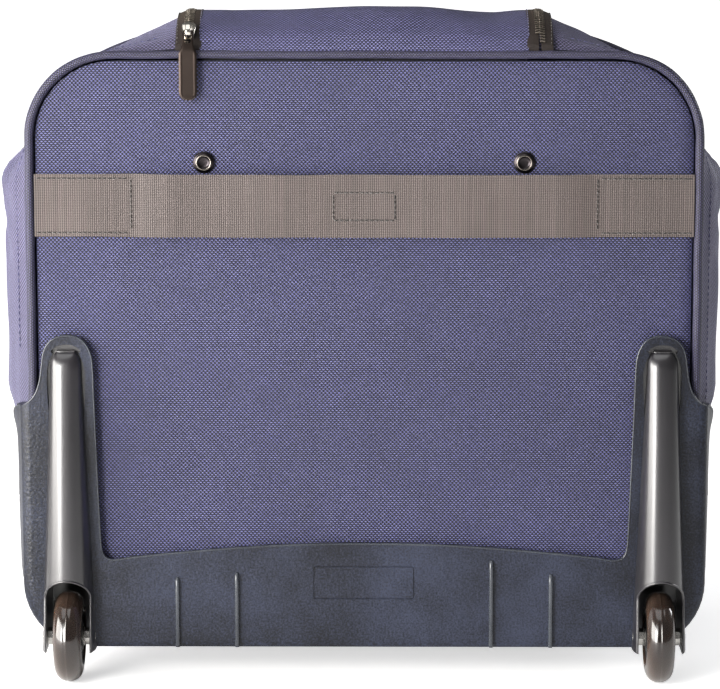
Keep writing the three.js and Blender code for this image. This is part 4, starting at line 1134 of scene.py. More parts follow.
# ------------------------------------------------------------------------ flap
def build_flap_cloth():
    half_w, rear_y, front_y, r = 98.5, -82.4, -14.6, 20.5
    corner_y = front_y - r
    depths = np.concatenate([
        np.linspace(rear_y, corner_y, 46, endpoint=False),
        corner_y + r * np.sin(np.linspace(0, PI / 2, 18)),
    ])
    into = np.maximum(depths - corner_y, 0)
    widths = np.where(into <= 0, half_w, half_w - r + np.sqrt(np.maximum(0, r * r - into**2)))
    x = np.linspace(-1, 1, 90)[:, None] * widths[None, :]
    y = np.broadcast_to(depths[None, :], x.shape)
    z = top_z(x, y) + 2.2 + 2.0 * np.cos(x / 104 * PI / 2)
    waves = 1.2 * np.sin(x / 27 + 0.9) - 1.5 * smooth(20, 80, x)
    z = z + waves * smooth(0, 22, half_w - np.abs(x)) * smooth(-80, -60, y)
    # tuck by the piping, slack across the middle
    tuck = smooth(rear_y, -79, y) * (1 - smooth(-74, -60, y))
    z = z - 0.9 * (1 - smooth(rear_y, -78, y)) + 1.3 * tuck * (0.6 + 0.4 * np.sin(x / 21))
    slack = smooth(0, 16, half_w - np.abs(x)) * (1 - smooth(-30, -16, y)) * smooth(-82, -74, y)
    ripple = np.sin((y + 0.10 * x + 5 * wobble(x, y, 0 * x, 50, 6.6)) / 5.2)
    z = z + slack * (1.0 * wobble(x, y, 0 * x, 30, 3.3) + 0.7 * ripple)
    cloth = np.stack([x, y, z], 2)

    # rear edge rolls over and tucks down behind the piping: (dy, share of the height)
    rear_x, rear_z = x[:, 0], z[:, 0]
    skirt = []
    for dy, share in ((1.6, 0.0), (0.2, 0.02), (-1.0, 0.14), (-1.55, 0.36), (-1.35, 0.62),
                      (-0.7, 0.85)):
        skirt.append(np.stack([rear_x, rear_y + dy + 0 * rear_x, lerp(385.4, rear_z, share)], 1))
    cloth = np.concatenate([np.stack(skirt, 1), cloth], 1)
    x = cloth[..., 0]
    uv = (x, np.broadcast_to(run_length(cloth[45])[None, :], x.shape))
    sign = 1 if grid_normals(cloth, False)[45, 40, 2] > 0 else -1
    # the flap takes the lighter copy of the rear nylon, painted light on the top
    flap = shell("handle_flap_cloth", cloth, [NYLON_TOP, LINING], thick=1.5, sign=sign, uv=uv,
                 angle=60)
    piece(flap, "top_flap", "fabric_rear", "handle_flap", bends=True)


def band_path(offset):
    """The zip line (x, y) round the flap's free edges, moved outward by offset."""
    half_w, y0, y1, r = 104.0, -82.0, -35.0, 26.0
    grown = r + offset
    quarter = np.linspace(0, PI / 2, 30, endpoint=False)
    pts = [(-half_w - offset, y) for y in np.linspace(y0, y1, 40, endpoint=False)]
    pts += [(-half_w + r - grown * math.cos(a), y1 + grown * math.sin(a)) for a in quarter]
    pts += [(x, y1 + r + offset)
            for x in np.linspace(-half_w + r, half_w - r, 60, endpoint=False)]
    pts += [(half_w - r + grown * math.sin(a), y1 + grown * math.cos(a)) for a in quarter]
    pts += [(half_w + offset, y) for y in np.linspace(y1, y0, 41)]
    return np.array(pts)


# How the tapes' rear ends turn down: (dy, dz) of the upper and lower faces
TAPE_END_OVER = [(-0.6, -0.5), (-1.15, -1.7), (-1.4, -3.2), (-1.4, -5.2)]
TAPE_END_UNDER = [(0.2, -1.0), (-0.1, -2.2), (-0.3, -3.5), (-0.3, -5.2)]


def flap_tape(name, offset0, offset1, low, high, crown):
    columns, lows = [], []
    for k, offset in enumerate(np.linspace(offset0, offset1, 6)):
        x, y = band_path(offset).T
        z = top_z(x, y)
        columns.append(np.stack([x, y, z + high + crown * math.sin(PI * k / 5)], 1))
        lows.append(np.stack([x, y, z + low], 1))
    faces = []
    for grid, turns in ((np.stack(columns, 1), TAPE_END_OVER), (np.stack(lows, 1), TAPE_END_UNDER)):
        start = [grid[:1] + [0, dy, dz] for dy, dz in turns[::-1]]
        end = [grid[-1:] + [0, dy, dz] for dy, dz in turns]
        faces.append(np.concatenate(start + [grid] + end, 0))
    return shell(name, faces[0], [TAPE], inner=faces[1])


def band_line(offset, height, rear_y=None):
    """Line above the flap's zip line with its normals; rear_y trims the rear ends."""
    path = resample(band_path(offset), 0.8)
    x, y = path.T
    eps = 0.5
    slope_x = -(top_z(x + eps, y) - top_z(x - eps, y)) / (2 * eps)
    slope_y = -(top_z(x, y + eps) - top_z(x, y - eps)) / (2 * eps)
    normals = unit_rows(np.stack([slope_x, slope_y, np.ones(len(path))], 1))
    line = np.stack([x, y, top_z(x, y)], 1) + normals * height
    if rear_y is None:
        return line, normals
    kept = line[:, 1] > rear_y
    return line[kept], normals[kept]


def build_flap_zip():
    inner = flap_tape("flap_tape_inner", -6.4, 0.5, low=1.2, high=2.3, crown=0.4)
    piece(inner, "top_flap", "zip_tape", "flap_zip_tape_flap", bends=True)
    outer = flap_tape("flap_tape_outer", 2.1, 9.2, low=0.9, high=2.2, crown=0.35)
    piece(outer, "case_body", "zip_tape", "flap_zip_tape_body")
    tooth = (1.0, 1.9, 1.25)
    row = teeth("flap_teeth_inner", *band_line(0.5, 2.1, -79.4), side=1, phase=0.0, size=tooth)
    piece(row, "top_flap", "zip_metal")
    row = teeth("flap_teeth_outer", *band_line(2.3, 2.1), side=-1, phase=1.1, size=tooth)
    piece(row, "case_body", "zip_metal")
    thread = {"radius": 0.3, "length": 2.2, "gap": 1.1}
    row = stitches("flap_tape_stitching", [band_line(8.0, 2.3)], THREAD_BROWN, **thread)
    piece(row, "case_body", "zip_tape")
    row = stitches("flap_edge_stitching", [band_line(-5.3, 2.6, -79.0)], THREAD_NAVY, **thread)
    piece(row, "top_flap", "zip_tape")


# --------------------------------------------------------------------- strap
def build_strap():
    half_w, low, high = 199, 275, 313
    xs = np.linspace(-half_w, half_w, 240)
    zs = np.linspace(low, high, 20)
    x, z = np.meshgrid(xs, zs, indexing="ij")
    # the strap's depth from the middle out to its sewn ends: abs x, y
    depth = np.interp(np.abs(xs), [0, 60, 120, 128, 140, 199],
                      [-87.4, -88.4, -87.6, -86.6, -84.3, -84.3])
    kernel = np.hanning(9)
    kernel /= kernel.sum()
    depth = np.convolve(np.pad(depth, 4, mode="edge"), kernel, mode="valid")[:, None]
    # it waves where it hangs free, between the middle box and the ends
    loose = smooth(0, 30, 128 - np.abs(x)) * smooth(16, 40, np.abs(x))
    wave = 0.7 * np.sin(x / 17 + 1.2) * loose + 0.6 * wobble(x, 0 * x, z, 38, 2.2) * loose
    selvedge = -0.25 * np.exp(-((z - low) ** 2) / 1.2) - 0.25 * np.exp(-((z - high) ** 2) / 1.2)
    outer_y = depth - 1.5 + wave * 0.6 + selvedge
    inner_y = np.minimum(depth, -84.25 + 0 * x) + np.minimum(wave * 0.6, 0)
    edge_z = z + 0.25 * wobble(x, 0 * x, 0 * x, 26, 7.7) * np.sign(z - (low + high) / 2)
    strap = shell("strap_webbing_band", np.stack([x, outer_y, edge_z], 2), [STRAP],
                  inner=np.stack([x, inner_y, edge_z], 2), uv=(x, z))
    piece(strap, "case_body", "webbing", "luggage_strap")

    def on_strap(x, z):
        """y of the strap's outside, interpolated along x."""
        i = np.interp(x, xs, np.arange(len(xs)))
        j = np.interp(z, zs, np.arange(len(zs)))
        i0 = np.clip(i.astype(int), 0, len(xs) - 2)
        j0 = np.clip(j.astype(int), 0, len(zs) - 2)
        return outer_y[i0, j0] * (1 - (i - i0)) + outer_y[i0 + 1, j0] * (i - i0)

    # seams as x0, z0, x1, z1: open boxes at the ends, a closed one in the middle
    seams = []
    for _, s in SIDES:
        seams += [(s * 198, 310.4, s * 140.5, 310.4), (s * 198, 277.4, s * 140.5, 277.4),
                  (s * 140.5, 310.4, s * 140.5, 277.4)]
    seams += [(-18.5, z0, 18.5, z0) for z0 in (285.6, 302.2)]
    seams += [(x0, 285.6, x0, 302.2) for x0 in (-18.5, 18.5)]
    rows = []
    for x0, z0, x1, z1 in seams:
        t = np.linspace(0, 1, 80)
        x, z = lerp(x0, x1, t), lerp(z0, z1, t)
        rows.append((np.stack([x, on_strap(x, z) - 0.14, z], 1), (0, -1, 0)))
    row = stitches("strap_stitching", rows, THREAD_BROWN, radius=0.46, gap=0.35)
    piece(row, "case_body", "webbing")


# ---------------------------------------------------------------- base plate
# Upper edge of the plate on the rear face, right half: (x, z)
PLATE_HALF = [
    (0, 86), (40, 85.3), (80, 83), (120, 79.5), (143, 77), (152, 75.5), (157.5, 76.5),
    (160.3, 80), (161.6, 90), (163.0, 130), (164.3, 170), (165.0, 195), (166.2, 204),
    (169.8, 211), (175.5, 214.6), (183, 214.8), (190, 212), (194.2, 205.5), (195.9, 195),
    (196.9, 188), (199.4, 180), (203.6, 174.5), (209.6, 171), (217, 169.5),
]
# Upper edge of the wings round the sides: (y, z)
WING_EDGE = [(-74, 169), (-67, 165.5), (-60, 160), (-52.5, 150), (-46, 138), (-40, 118),
             (-35, 96)]
# Ribs on the rear face: (x, z of the tip)
RIBS = ((-114.5, 65), (-78, 68), (78, 76), (114.5, 67))
PLATE_FLARE = 2.1  # extra width of the plate at its rear
PLATE_ROUND = 5.4  # depth of its rounded rear corner
HOUSING_SEAT = HOUSING_TOP - PLATE_FOOT  # height over which the housing tapers


def plate_flare(y):
    return max(0.0, PLATE_FLARE * (-70 - y) / 12)


def envelope(name, offset, rear_y, rounding=0.0):
    """Solid that follows the body's outside at offset, from rear_y forward."""
    rings = []
    for a in np.linspace(0, PI / 2, 9) if rounding else (PI / 2,):
        section = ring(REAR_Y, offset + PLATE_FLARE - rounding * (1 - math.sin(a)), COARSE)
        section[:, 1] = rear_y + (PLATE_ROUND * (1 - math.cos(a)) if rounding else 0.0)
        rings.append(section)
    section = ring(REAR_Y, offset + PLATE_FLARE, COARSE)
    section[:, 1] = -82
    rings.append(section)
    for y in (-76, -70, -66, -62, -57, -53, -48, -44, -39, -35, -30, -26, -18, -10):
        rings.append(ring(y, offset + plate_flare(y), COARSE))
    return rings_solid(name, rings, [PLATE], 50)


def arch_outline(cx, half, rise, foot):
    """Wheel arch (x, z): straight legs up to z 54 and a half ellipse over them."""
    spring = 54
    pts = [(cx - half, foot), (cx + half, foot), (cx + half, spring)]
    pts += [(cx + half * math.cos(a), spring + rise * math.sin(a))
            for a in np.linspace(0, PI, 25)[1:-1]]
    return pts + [(cx - half, spring)]


def seat_outline(cx, grow):
    """Outline (x, z) round the upper part of a wheel housing, grown near the tip."""
    right = []
    for z in np.linspace(72, HOUSING_TOP, 24):
        half = lerp(9, 16.5, (HOUSING_TOP - z) / HOUSING_SEAT)
        half *= 1 if z < 192 else 1 - 0.35 * ((z - 192) / 12) ** 2
        right.append((cx + half + lerp(-1.4, grow, float(smooth(140, 196, z))), z))
    tip = [(cx + (7.4 + grow) * math.cos(a), 203.6 + (3.8 + grow) * math.sin(a))
           for a in np.linspace(0.3, PI - 0.3, 9)]
    return right + tip + [(2 * cx - x, z) for x, z in right[::-1]]


def build_plate(outline):
    plate = envelope("base_moulding", PLATE_GAP, PLATE_Y, rounding=6.5)
    boolean(plate, envelope("inner", 0.3, PLATE_INNER_Y))
    below = [tuple(p) for p in outline] + [(250, 169.5), (250, -10), (-250, -10), (-250, 169.5)]
    boolean(plate, prism(below, -120, -36, "y"), "INTERSECT")
    above_wings = [(-74, 200)] + WING_EDGE + [(-30, 96), (-30, 200)]
    cutters = [prism(above_wings, -260, 260, "x"), box(-300, 300, -100, 60, -20, 20.4)]
    for _, s in SIDES:
        cx = s * WHEEL_X
        cutters.append(box(cx - 16.6, cx + 16.6, -87.15, -55.2, -5, 69.6))
        cutters.append(prism(arch_outline(cx, 14.7, 13.4, -5), -140, -80, "y"))
    for _, s in SIDES:
        cutters.append(prism(seat_outline(s * WHEEL_X, 2.2), -95, -84.9, "y"))
    # shallow rectangular groove in the middle of the rear face
    groove = prism(round_rect(-31, 31, 51, 72, 1.2, 3), -93, PLATE_Y + 0.7, "y")
    island = prism(round_rect(-30.1, 30.1, 51.9, 71.1, 0.8, 3), -94, -80, "y")
    cutters.append(boolean(groove, island))
    boolean(plate, cutters, angle=32)
    piece(plate, "case_body", "base_plastic", "base_plate")


def build_plate_bead(outline):
    """Rolled edge along the plate's rear outline and round both wings."""
    flat = outline[np.abs(outline[:, 0]) < 209]
    turn = np.arcsin(np.clip((np.abs(flat[:, 0]) - 202.7) / 6.5, 0, 0.97))
    rear = np.stack([flat[:, 0], PLATE_Y + PLATE_ROUND * (1 - np.cos(turn)) + 0.35,
                     flat[:, 1] - 0.25], 1)
    edge_y, edge_z = np.array(WING_EDGE).T
    left, right = [], []
    for y in np.linspace(-84.6, -37, 40):
        z = 169.4 if y < -74 else float(np.interp(y, edge_y, edge_z)) - 0.2
        x = HALF_WIDTH + PLATE_GAP + plate_flare(max(y, -82)) - 0.35
        swell = float(bulge(max(y, REAR_Y), z))
        left.append((-x - swell, y, z))
        right.append((x + RIGHT_BULGE * swell, y, z))
    path = resample(np.vstack([left[::-1], rear, right]), 1.8)
    # the bead takes the lighter copy of the moulding, a painted highlight along the edge
    bead = tube("base_moulding_rolled_edge", path, oval(0.6, 0.6, 8), [PLATE_HIGHLIGHT],
                up=(0.05, 1, 0.02))
    piece(bead, "case_body", "base_plastic")


def build_ribs():
    for i, (cx, top) in enumerate(RIBS):
        rings = []
        # z, half width, height of the rib's sections
        for z, half, high in ((20.8, 1.3, 2.2), (22, 1.4, 3.0), (top - 5, 1.4, 3.0),
                              (top - 2, 1.3, 2.5), (top - 0.6, 1.0, 1.4), (top, 0.5, 0.2)):
            rings.append([(cx + half * power(math.cos(a), 0.6),
                           PLATE_Y + 0.15 - high * abs(math.sin(a)) ** 0.6, z)
                          for a in np.linspace(0, PI, 11)])
        # the rib takes the lighter copy of the moulding, a painted highlight on the rib
        rib = rings_solid("base_rib_%d" % (i + 1), rings, [PLATE_HIGHLIGHT])
        piece(rib, "case_body", "base_plastic")


def build_base():
    half = spline(PLATE_HALF, 1.6)
    outline = np.vstack([half[::-1] * [-1, 1], half[1:]])
    build_plate(outline)
    build_plate_bead(outline)
    build_ribs()


# ------------------------------------------------------- wheels and their housings
HOUSING_Y = PLATE_Y + 0.05
HOUSING_POWER = 0.85


def housing_size(z):
    """Half width and depth of the housing at height z."""
    t = np.clip((HOUSING_TOP - z) / HOUSING_SEAT, 0, 1)
    end = np.clip((z - 196) / 9.0, 0, 1)
    half = lerp(9, 16.5, t) * np.sqrt(np.maximum(0.0, 1 - end**2.4 * 0.62))
    depth = lerp(6, 23.5, t**0.85) * np.sqrt(np.maximum(0.0, 1 - end**1.6 * 0.97))
    return half, depth


def build_housing(name, cx):
    rings = []
    for z in np.concatenate([np.linspace(PLATE_FOOT, 186, 46),
                             186 + 19.5 * np.sin(np.linspace(0.12, PI / 2, 14))]):
        half, depth = housing_size(z)
        front = [(cx + half * power(math.cos(a), HOUSING_POWER),
                  HOUSING_Y - depth * math.sin(a) ** HOUSING_POWER, z)
                 for a in np.linspace(0, PI, 45)]
        rings.append(front + [(cx - half, -86.6, z), (cx + half, -86.6, z)])
    housing = rings_solid("wheel_housing_" + name + "_shell", rings, [HOUSING], 50)
    # flange behind it, arch surround and wheel box
    boolean(housing, prism(seat_outline(cx, 3.4), -86.9, -85.7, "y"), "UNION", 50)
    boolean(housing, prism(arch_outline(cx, 14.6, 13.3, PLATE_FOOT), -93, -80, "y"), "UNION", 50)
    boolean(housing, box(cx - 16.4, cx + 16.4, -86.9, -55.2, PLATE_FOOT, 69.4), "UNION", 50)
    bore = lathe("bore", [(0, -20), (3.3, -20), (3.3, 20), (0, 20)], "x",
                 (cx, WHEEL_Y, WHEEL_RADIUS), n=32)
    boolean(housing, [prism(arch_outline(cx, 13.25, 12, -5), -140, -58.2, "y"), bore])
    piece(housing, "case_body", "housing_plastic", "wheel_housing_" + name)


def build_arch_lip(name, cx):
    half_w = 13.9
    rim = [(cx + half_w, z) for z in np.linspace(21.5, 54, 12)]
    rim += [(cx + half_w * math.cos(a), 54 + 12.6 * math.sin(a))
            for a in np.linspace(0, PI, 30)[1:-1]]
    rim += [(cx - half_w, z) for z in np.linspace(54, 21.5, 12)]
    path = []
    for x, z in rim:
        half, depth = housing_size(z)
        c = min(0.999, (abs(x - cx) / half) ** (1 / HOUSING_POWER))
        path.append((x, HOUSING_Y - depth * (1 - c * c) ** (HOUSING_POWER / 2) - 0.1, z))
    lip = tube("arch_lip_" + name, resample(path, 1.2), oval(0.75, 0.75, 10), [HOUSING],
               up=(1, 0.01, 0.3))
    piece(lip, "case_body", "housing_plastic")


# Half of the hub's profile: (radius, distance from the wheel's middle)
HUB_HALF = [(6.2, 8.1), (8.4, 8.2), (9.4, 7.6), (10.4, 5.6), (12.5, 5.2), (15.4, 6.3),
            (16.8, 7.2)]


def build_wheel(name, cx):
    centre = (cx, WHEEL_Y, WHEEL_RADIUS)
    profile = [(17.0, -7.2)]
    for a in np.linspace(-PI / 2, PI / 2, 33):
        profile.append((18.2 + 9.8 * abs(math.cos(a)) ** 0.8, 8.6 * power(math.sin(a), 0.95)))
    profile.append((17.0, 7.2))
    # a fine parting ridge in the middle of the tread
    mid = len(profile) // 2
    profile[mid - 1] = (27.72, -0.45)
    profile[mid + 1] = (27.72, 0.45)
    tyre = lathe("tyre_%s_pu" % name, profile, "x", centre, [POLYURETHANE], 120, 60)
    piece(tyre, "wheel_" + name, "wheel_pu", "tyre_" + name)
    profile = [(r, -x) for r, x in HUB_HALF] + HUB_HALF[::-1]
    hub = lathe("hub_%s_moulding" % name, profile, "x", centre, [BLACK])
    piece(hub, "wheel_" + name, "housing_plastic", "hub_" + name)


# ---------------------------------------------------------------------- rivets
RIVET_Y = -84.3
# Cap from the middle out: (radius, height behind the panel)
RIVET_CAP = [(0, 1.1), (2.2, 1.15), (3.0, 1.3), (3.5, 1.9), (3.9, 2.3), (4.4, 2.35), (4.8, 2.2),
             (5.15, 1.75), (5.5, 1.55), (6.1, 1.35), (6.5, 0.9), (6.55, 0.35), (6.3, 0)]


def build_rivets():
    for name, s in SIDES:
        profile = [(r, RIVET_Y - high) for r, high in RIVET_CAP]
        profile += [(2.1, RIVET_Y), (2.1, -74.3), (0, -74.3)]
        rivet = lathe("rivet_%s_cap" % name, profile, "y", (s * RIVET_X, 0, RIVET_Z),
                      [GUNMETAL, GUNMETAL_RING], 64, 60)
        # the raised ring is brighter
        for poly in rivet.data.polygons:
            c = poly.center
            r = math.hypot(c.x / MM - s * RIVET_X, c.z / MM - RIVET_Z)
            if 3.95 < r < 4.75 and c.y / MM < -86:
                poly.material_index = 1
        piece(rivet, "case_body", "gunmetal", "rivet_" + name)


# ---------------------------------------------------------------- zip hardware
# The pull's bar from the middle of its slider, in the slider's own frame
PULL_BAR = [0, -3.9, 4.55]


def turn_pair(a, b, degrees):
    angle = math.radians(degrees)
    return a * math.cos(angle) - b * math.sin(angle), a * math.sin(angle) + b * math.cos(angle)


def rot_x(points, degrees):
    y, z = turn_pair(points[:, 1], points[:, 2], degrees)
    return np.stack([points[:, 0], y, z], 1)


def rot_z(points, degrees):
    x, y = turn_pair(points[:, 0], points[:, 1], degrees)
    return np.stack([x, y, points[:, 2]], 1)


def plate_part(outline, levels, mats, name):
    """Bevelled plate: outline (x, y) shrunk at each level (height, shrink)."""
    outline = np.asarray(outline, float)
    after = np.roll(outline, -1, 0)
    tangents = after - np.roll(outline, 1, 0)
    tangents /= np.maximum(np.linalg.norm(tangents, axis=1, keepdims=True), 1e-9)
    normals = np.stack([tangents[:, 1], -tangents[:, 0]], 1)
    if np.sum(outline[:, 0] * after[:, 1] - after[:, 0] * outline[:, 1]) < 0:
        normals = -normals
    rings = [np.column_stack([outline - normals * shrink, np.full(len(outline), z)])
             for z, shrink in levels]
    return rings_solid(name, rings, mats, 50)


def slider(name, move):
    """Local frame: x across, y along the zip, z outward; wide end at +y."""
    half = spline([(0, 6.4), (2.4, 6.3), (4.0, 5.6), (4.35, 4.0), (4.2, 1.5), (3.6, -1.5),
                   (3.3, -4.2), (2.9, -5.9), (1.5, -6.45), (0, -6.5)], 0.5)
    outline = mirrored(half)
    mats = [NICKEL]
    top_levels = [(1.35, 0.35), (1.6, 0.05), (2.1, 0.0), (2.5, 0.25), (2.75, 0.8)]
    low_levels = [(0.35, 0.5), (0.5, 0.1), (0.8, 0.05), (0.95, 0.4)]
    top = plate_part(outline, top_levels, mats, "top")
    low = plate_part(outline, low_levels, mats, "low")
    neck_outline = [(x * 1.1, y * 0.9 + 3.6) for x, y in oval(1.4, 1.4, 12)]
    neck = plate_part(neck_outline, [(0.8, 0), (1.6, 0)], mats, "neck")
    path = spline([(0, -5.9, 2.2), (0, -6.2, 4.2), (0, -5.3, 6.2), (0, -3.2, 6.95),
                   (0, 0.4, 6.75), (0, 2.9, 5.4), (0, 4.5, 3.4), (0, 5.0, 2.2)], 0.6)
    ups = np.gradient(path, axis=0)[:, [0, 2, 1]] * [1, -1, 1]
    bridge = tube("bridge", path, oval(1.75, 0.62, 16, 0.5, 0.6), mats, frames=ups)
    return move_points(join(name, [top, low, neck, bridge], 45), move)


def pull(name, move):
    """Flat pull in the x-y plane from its bar at the origin towards -y."""
    half, length = 5.2, 30.0
    side = spline([(0, 1.0), (2.2, 1.0), (3.3, 0.6), (3.5, -0.6), (3.5, -3.4), (4.0, -5.2),
                   (5.0, -6.8), (half, -9), (half, -14), (half, -length + 6)], 0.6)
    tip = np.array([(half * math.cos(a), -length + 5.4 - 5.2 * math.sin(a))
                    for a in np.linspace(0.06, PI / 2, 14)])
    levels = [(-0.72, 0.55), (-0.5, 0.12), (-0.2, 0.0), (0.2, 0.0), (0.5, 0.12), (0.72, 0.55),
              (0.72, 1.2), (0.58, 1.5)]
    tab = plate_part(mirrored(np.vstack([side, tip])), levels, [BRONZE, BRONZE_RIM], name)
    boolean(tab, prism(round_rect(-2.1, 2.1, -5.4, -0.9, 0.9, 4), -3, 3, "z"), angle=50)
    # bright rim round the tip
    for poly in tab.data.polygons:
        if abs(poly.normal.z) < 0.9 and poly.center.y / MM < -length + 6.5:
            poly.material_index = 1
    return move_points(tab, move)


def slider_and_pull(name, place):
    """Slider and pull on the frame's bodies name with _slider_ or _pull_ in it."""
    slider_name, pull_name = name % "slider", name % "pull"
    obj = slider(slider_name + "_body", place)
    piece(obj, slider_name, "zip_metal", slider_name)
    obj = pull(pull_name + "_tab", lambda points: place(points + PULL_BAR))
    piece(obj, pull_name, "zip_pull", pull_name)


def place_on_flap(points):
    turned = rot_x(points + [0, 0, ARC_RADIUS + 2.5], FLAP_SLIDER_DEG)
    return turned + [FLAP_SLIDER_X, ARC_Y, ARC_Z]


def place_on_pocket(points):
    turned = np.stack([-points[:, 1], points[:, 2], points[:, 0]], 1)
    return turned + [-140, 102.0, POCKET_ZIP_Z]


def build_sliders():
    piece(slider("flap_slider_body", place_on_flap), "flap_slider", "zip_metal", "flap_slider")
    for name, s in SIDES:
        slider_and_pull("main_%s_" + name,
                        lambda points: rot_z(points, s * 90) + [s * 8, SPLIT_Y + 0.2, TOP_Z + 1.7])
    slider_and_pull("pocket_%s", place_on_pocket)


def build_flap_pull():
    """Hangs from the flap's slider, over the piping and down along the rear panel."""
    bar_y, bar_z = -82.689, 398.385
    path = spline([(bar_y + 0.4, bar_z + 0.9), (bar_y - 1.2, bar_z - 1.2), (-87.2, 391.4),
                   (-88.9, 387.2), (-89.25, 383.5), (-89.25, 375), (-89.25, 366),
                   (-89.25, 357.7)], 0.55)
    run = run_length(path)
    rest = run[-1] - run
    # half width along the pull, ending in a round tip
    half = np.interp(run, [0, 0.8, 1.6, 9.5, 12.5, 15, 60], [2.6, 3.1, 3.3, 3.4, 4.4, 5.4, 5.5])
    round_tip = 5.5 * np.sqrt(np.maximum(0.003, 1 - ((5.5 - rest) / 5.55) ** 2))
    half = np.where(rest < 5.5, round_tip, half)
    across = np.linspace(-1, 1, 25)[:, None]
    tangents = unit_rows(np.gradient(path, axis=0))
    normals = np.stack([tangents[:, 1], -tangents[:, 0]], 1)
    if normals[-1, 0] > 0:
        normals = -normals
    thick = 0.74 * (1 - 0.75 * np.abs(across) ** 7)
    thick = thick * np.minimum(1, 0.35 + np.minimum(run, rest)[None, :] / 0.8)
    # shallow dish in the outer face
    dish = 0.22 * (1 - smooth(0.62, 0.78, np.abs(across))) * smooth(13, 16, run)[None, :]
    dish = dish * smooth(2.0, 3.4, rest)[None, :]
    x = FLAP_SLIDER_X + across * half[None, :]

    def face(lift):
        return np.stack([x, path[None, :, 0] + normals[None, :, 0] * lift,
                         path[None, :, 1] + normals[None, :, 1] * lift], 2)

    tab = shell("flap_pull_tab", face(thick - dish), [BRONZE, BRONZE, BRONZE_RIM],
                inner=face(-thick))
    slot = round_rect(FLAP_SLIDER_X - 2.15, FLAP_SLIDER_X + 2.15, bar_z - 6.4, bar_z - 1.1, 1.0, 4)
    boolean(tab, prism(slot, -100, -76, "y"), angle=50)
    for poly in tab.data.polygons:
        if poly.center.z / MM < 361.5 and abs(poly.normal.y) < 0.75:
            poly.material_index = 2
    piece(tab, "flap_pull", "zip_pull", "flap_pull")


# ------------------------------------------------------------------ carry handle
# Right half of the grip's centre line, from the pin: (x from the pin, y from the pin)
HANDLE_HALF = [(0, 1.0), (0, 12), (-3, 20.5), (-12, 27.4), (-26, 29)]


def build_carry_handle():
    """The grip lies forward of its pins, level with them."""
    right = [(HANDLE_X + x, HANDLE_Y + y, HANDLE_Z) for x, y in HANDLE_HALF]
    left = [(-x, y, z) for x, y, z in right]
    path = spline(left + [(0, HANDLE_Y + 29, HANDLE_Z)] + right[::-1], 1.6)
    s = np.linspace(-1, 1, len(path))
    pad = 1 - smooth(0.52, 0.6, np.abs(s))
    notch = 1 - 0.05 * pad * (0.5 + 0.5 * np.cos(s * 60))
    parts = [tube("grip", path, oval(6.4, 4.1, 24, 0.85, 0.85), [RUBBER], up=(0, 0, 1),
                  scale=(0.86 + 0.14 * pad) * notch)]
    eye = [(2.3, -6.6), (3.9, -6.6), (4.4, -6.1), (4.4, 6.1), (3.9, 6.6), (2.3, 6.6)]
    for _, side in SIDES:
        centre = (side * HANDLE_X, HANDLE_Y, HANDLE_Z)
        parts.append(lathe("eye", eye, "x", centre, [RUBBER], 36))
    piece(join("carry_handle_grip", parts, 45), "carry_handle", "grip_rubber", "carry_handle")


# ---------------------------------------------------------------- front pocket
POCKET_HALF = 168
POCKET_LOW, POCKET_HIGH = 84, 292
POCKET_LOW_R, POCKET_HIGH_R = 26.0, 8.0


def pocket_half(z):
    """Half width at height z with rounded lower and upper corners."""
    low, high = POCKET_LOW + POCKET_LOW_R, POCKET_HIGH - POCKET_HIGH_R
    low_arc = POCKET_LOW_R - np.sqrt(np.maximum(0, POCKET_LOW_R**2 - (low - z) ** 2))
    high_arc = POCKET_HIGH_R - np.sqrt(np.maximum(0, POCKET_HIGH_R**2 - (z - high) ** 2))
    return POCKET_HALF - np.where(z < low, low_arc, 0) - np.where(z > high, high_arc, 0)


def crowd(t):
    """Crowds grid lines towards both edges."""
    return 0.5 - 0.5 * np.cos(PI * t) * (0.72 + 0.28 * np.abs(np.cos(PI * t)))


def build_pocket():
    u, v = np.meshgrid(np.linspace(0, 1, 90), np.linspace(0, 1, 70), indexing="ij")
    u, v = crowd(u), crowd(v)
    z = lerp(POCKET_LOW, POCKET_HIGH, v)
    x = (2 * u - 1) * pocket_half(z)
    pouch = np.minimum(1, (1 - np.abs(2 * u - 1) ** 5) * 1.1)
    pouch = pouch * np.minimum(1, (1 - np.abs(2 * v - 1) ** 4) * 1.05)
    folds = np.sin((z + 0.12 * np.abs(x)) / 13) * (1 - smooth(0.1, 0.5, v))
    sag = 1.2 * wobble(x, 0 * x, z, 60, 4.4) + 0.8 * folds - 1.2 * smooth(0.75, 1, v)
    y = 100.6 + 1.8 + 15.8 * pouch + sag * smooth(0.1, 0.6, pouch)
    border = (u < 0.001) | (u > 0.999) | (v < 0.001) | (v > 0.999)
    inner_y = np.where(border, 100.3, np.maximum(100.35, y - 2.2))
    pocket = shell("front_pocket_pouch", np.stack([x, y, z], 2), [NYLON_REAR, LINING],
                   inner=np.stack([x, inner_y, z], 2), uv=(x, z))
    piece(pocket, "front_section", "fabric_rear", "front_pocket")

    r, corner_z = POCKET_LOW_R, POCKET_LOW + POCKET_LOW_R
    half = [(POCKET_HALF, z) for z in np.linspace(284, corner_z, 40)]
    half += [(POCKET_HALF - r + r * math.cos(a), corner_z - r * math.sin(a))
             for a in np.linspace(0, PI / 2, 16)][1:]
    half = np.array(half + [(0, POCKET_LOW)])
    edge = np.vstack([half, half[::-1][1:] * [-1, 1]])
    path = resample(np.stack([edge[:, 0], np.full(len(edge), 102.1), edge[:, 1]], 1), 2.2)
    piece(tube("pocket_binding", path, oval(1.9, 1.5, 12), [PIPING]), "front_section", "piping")


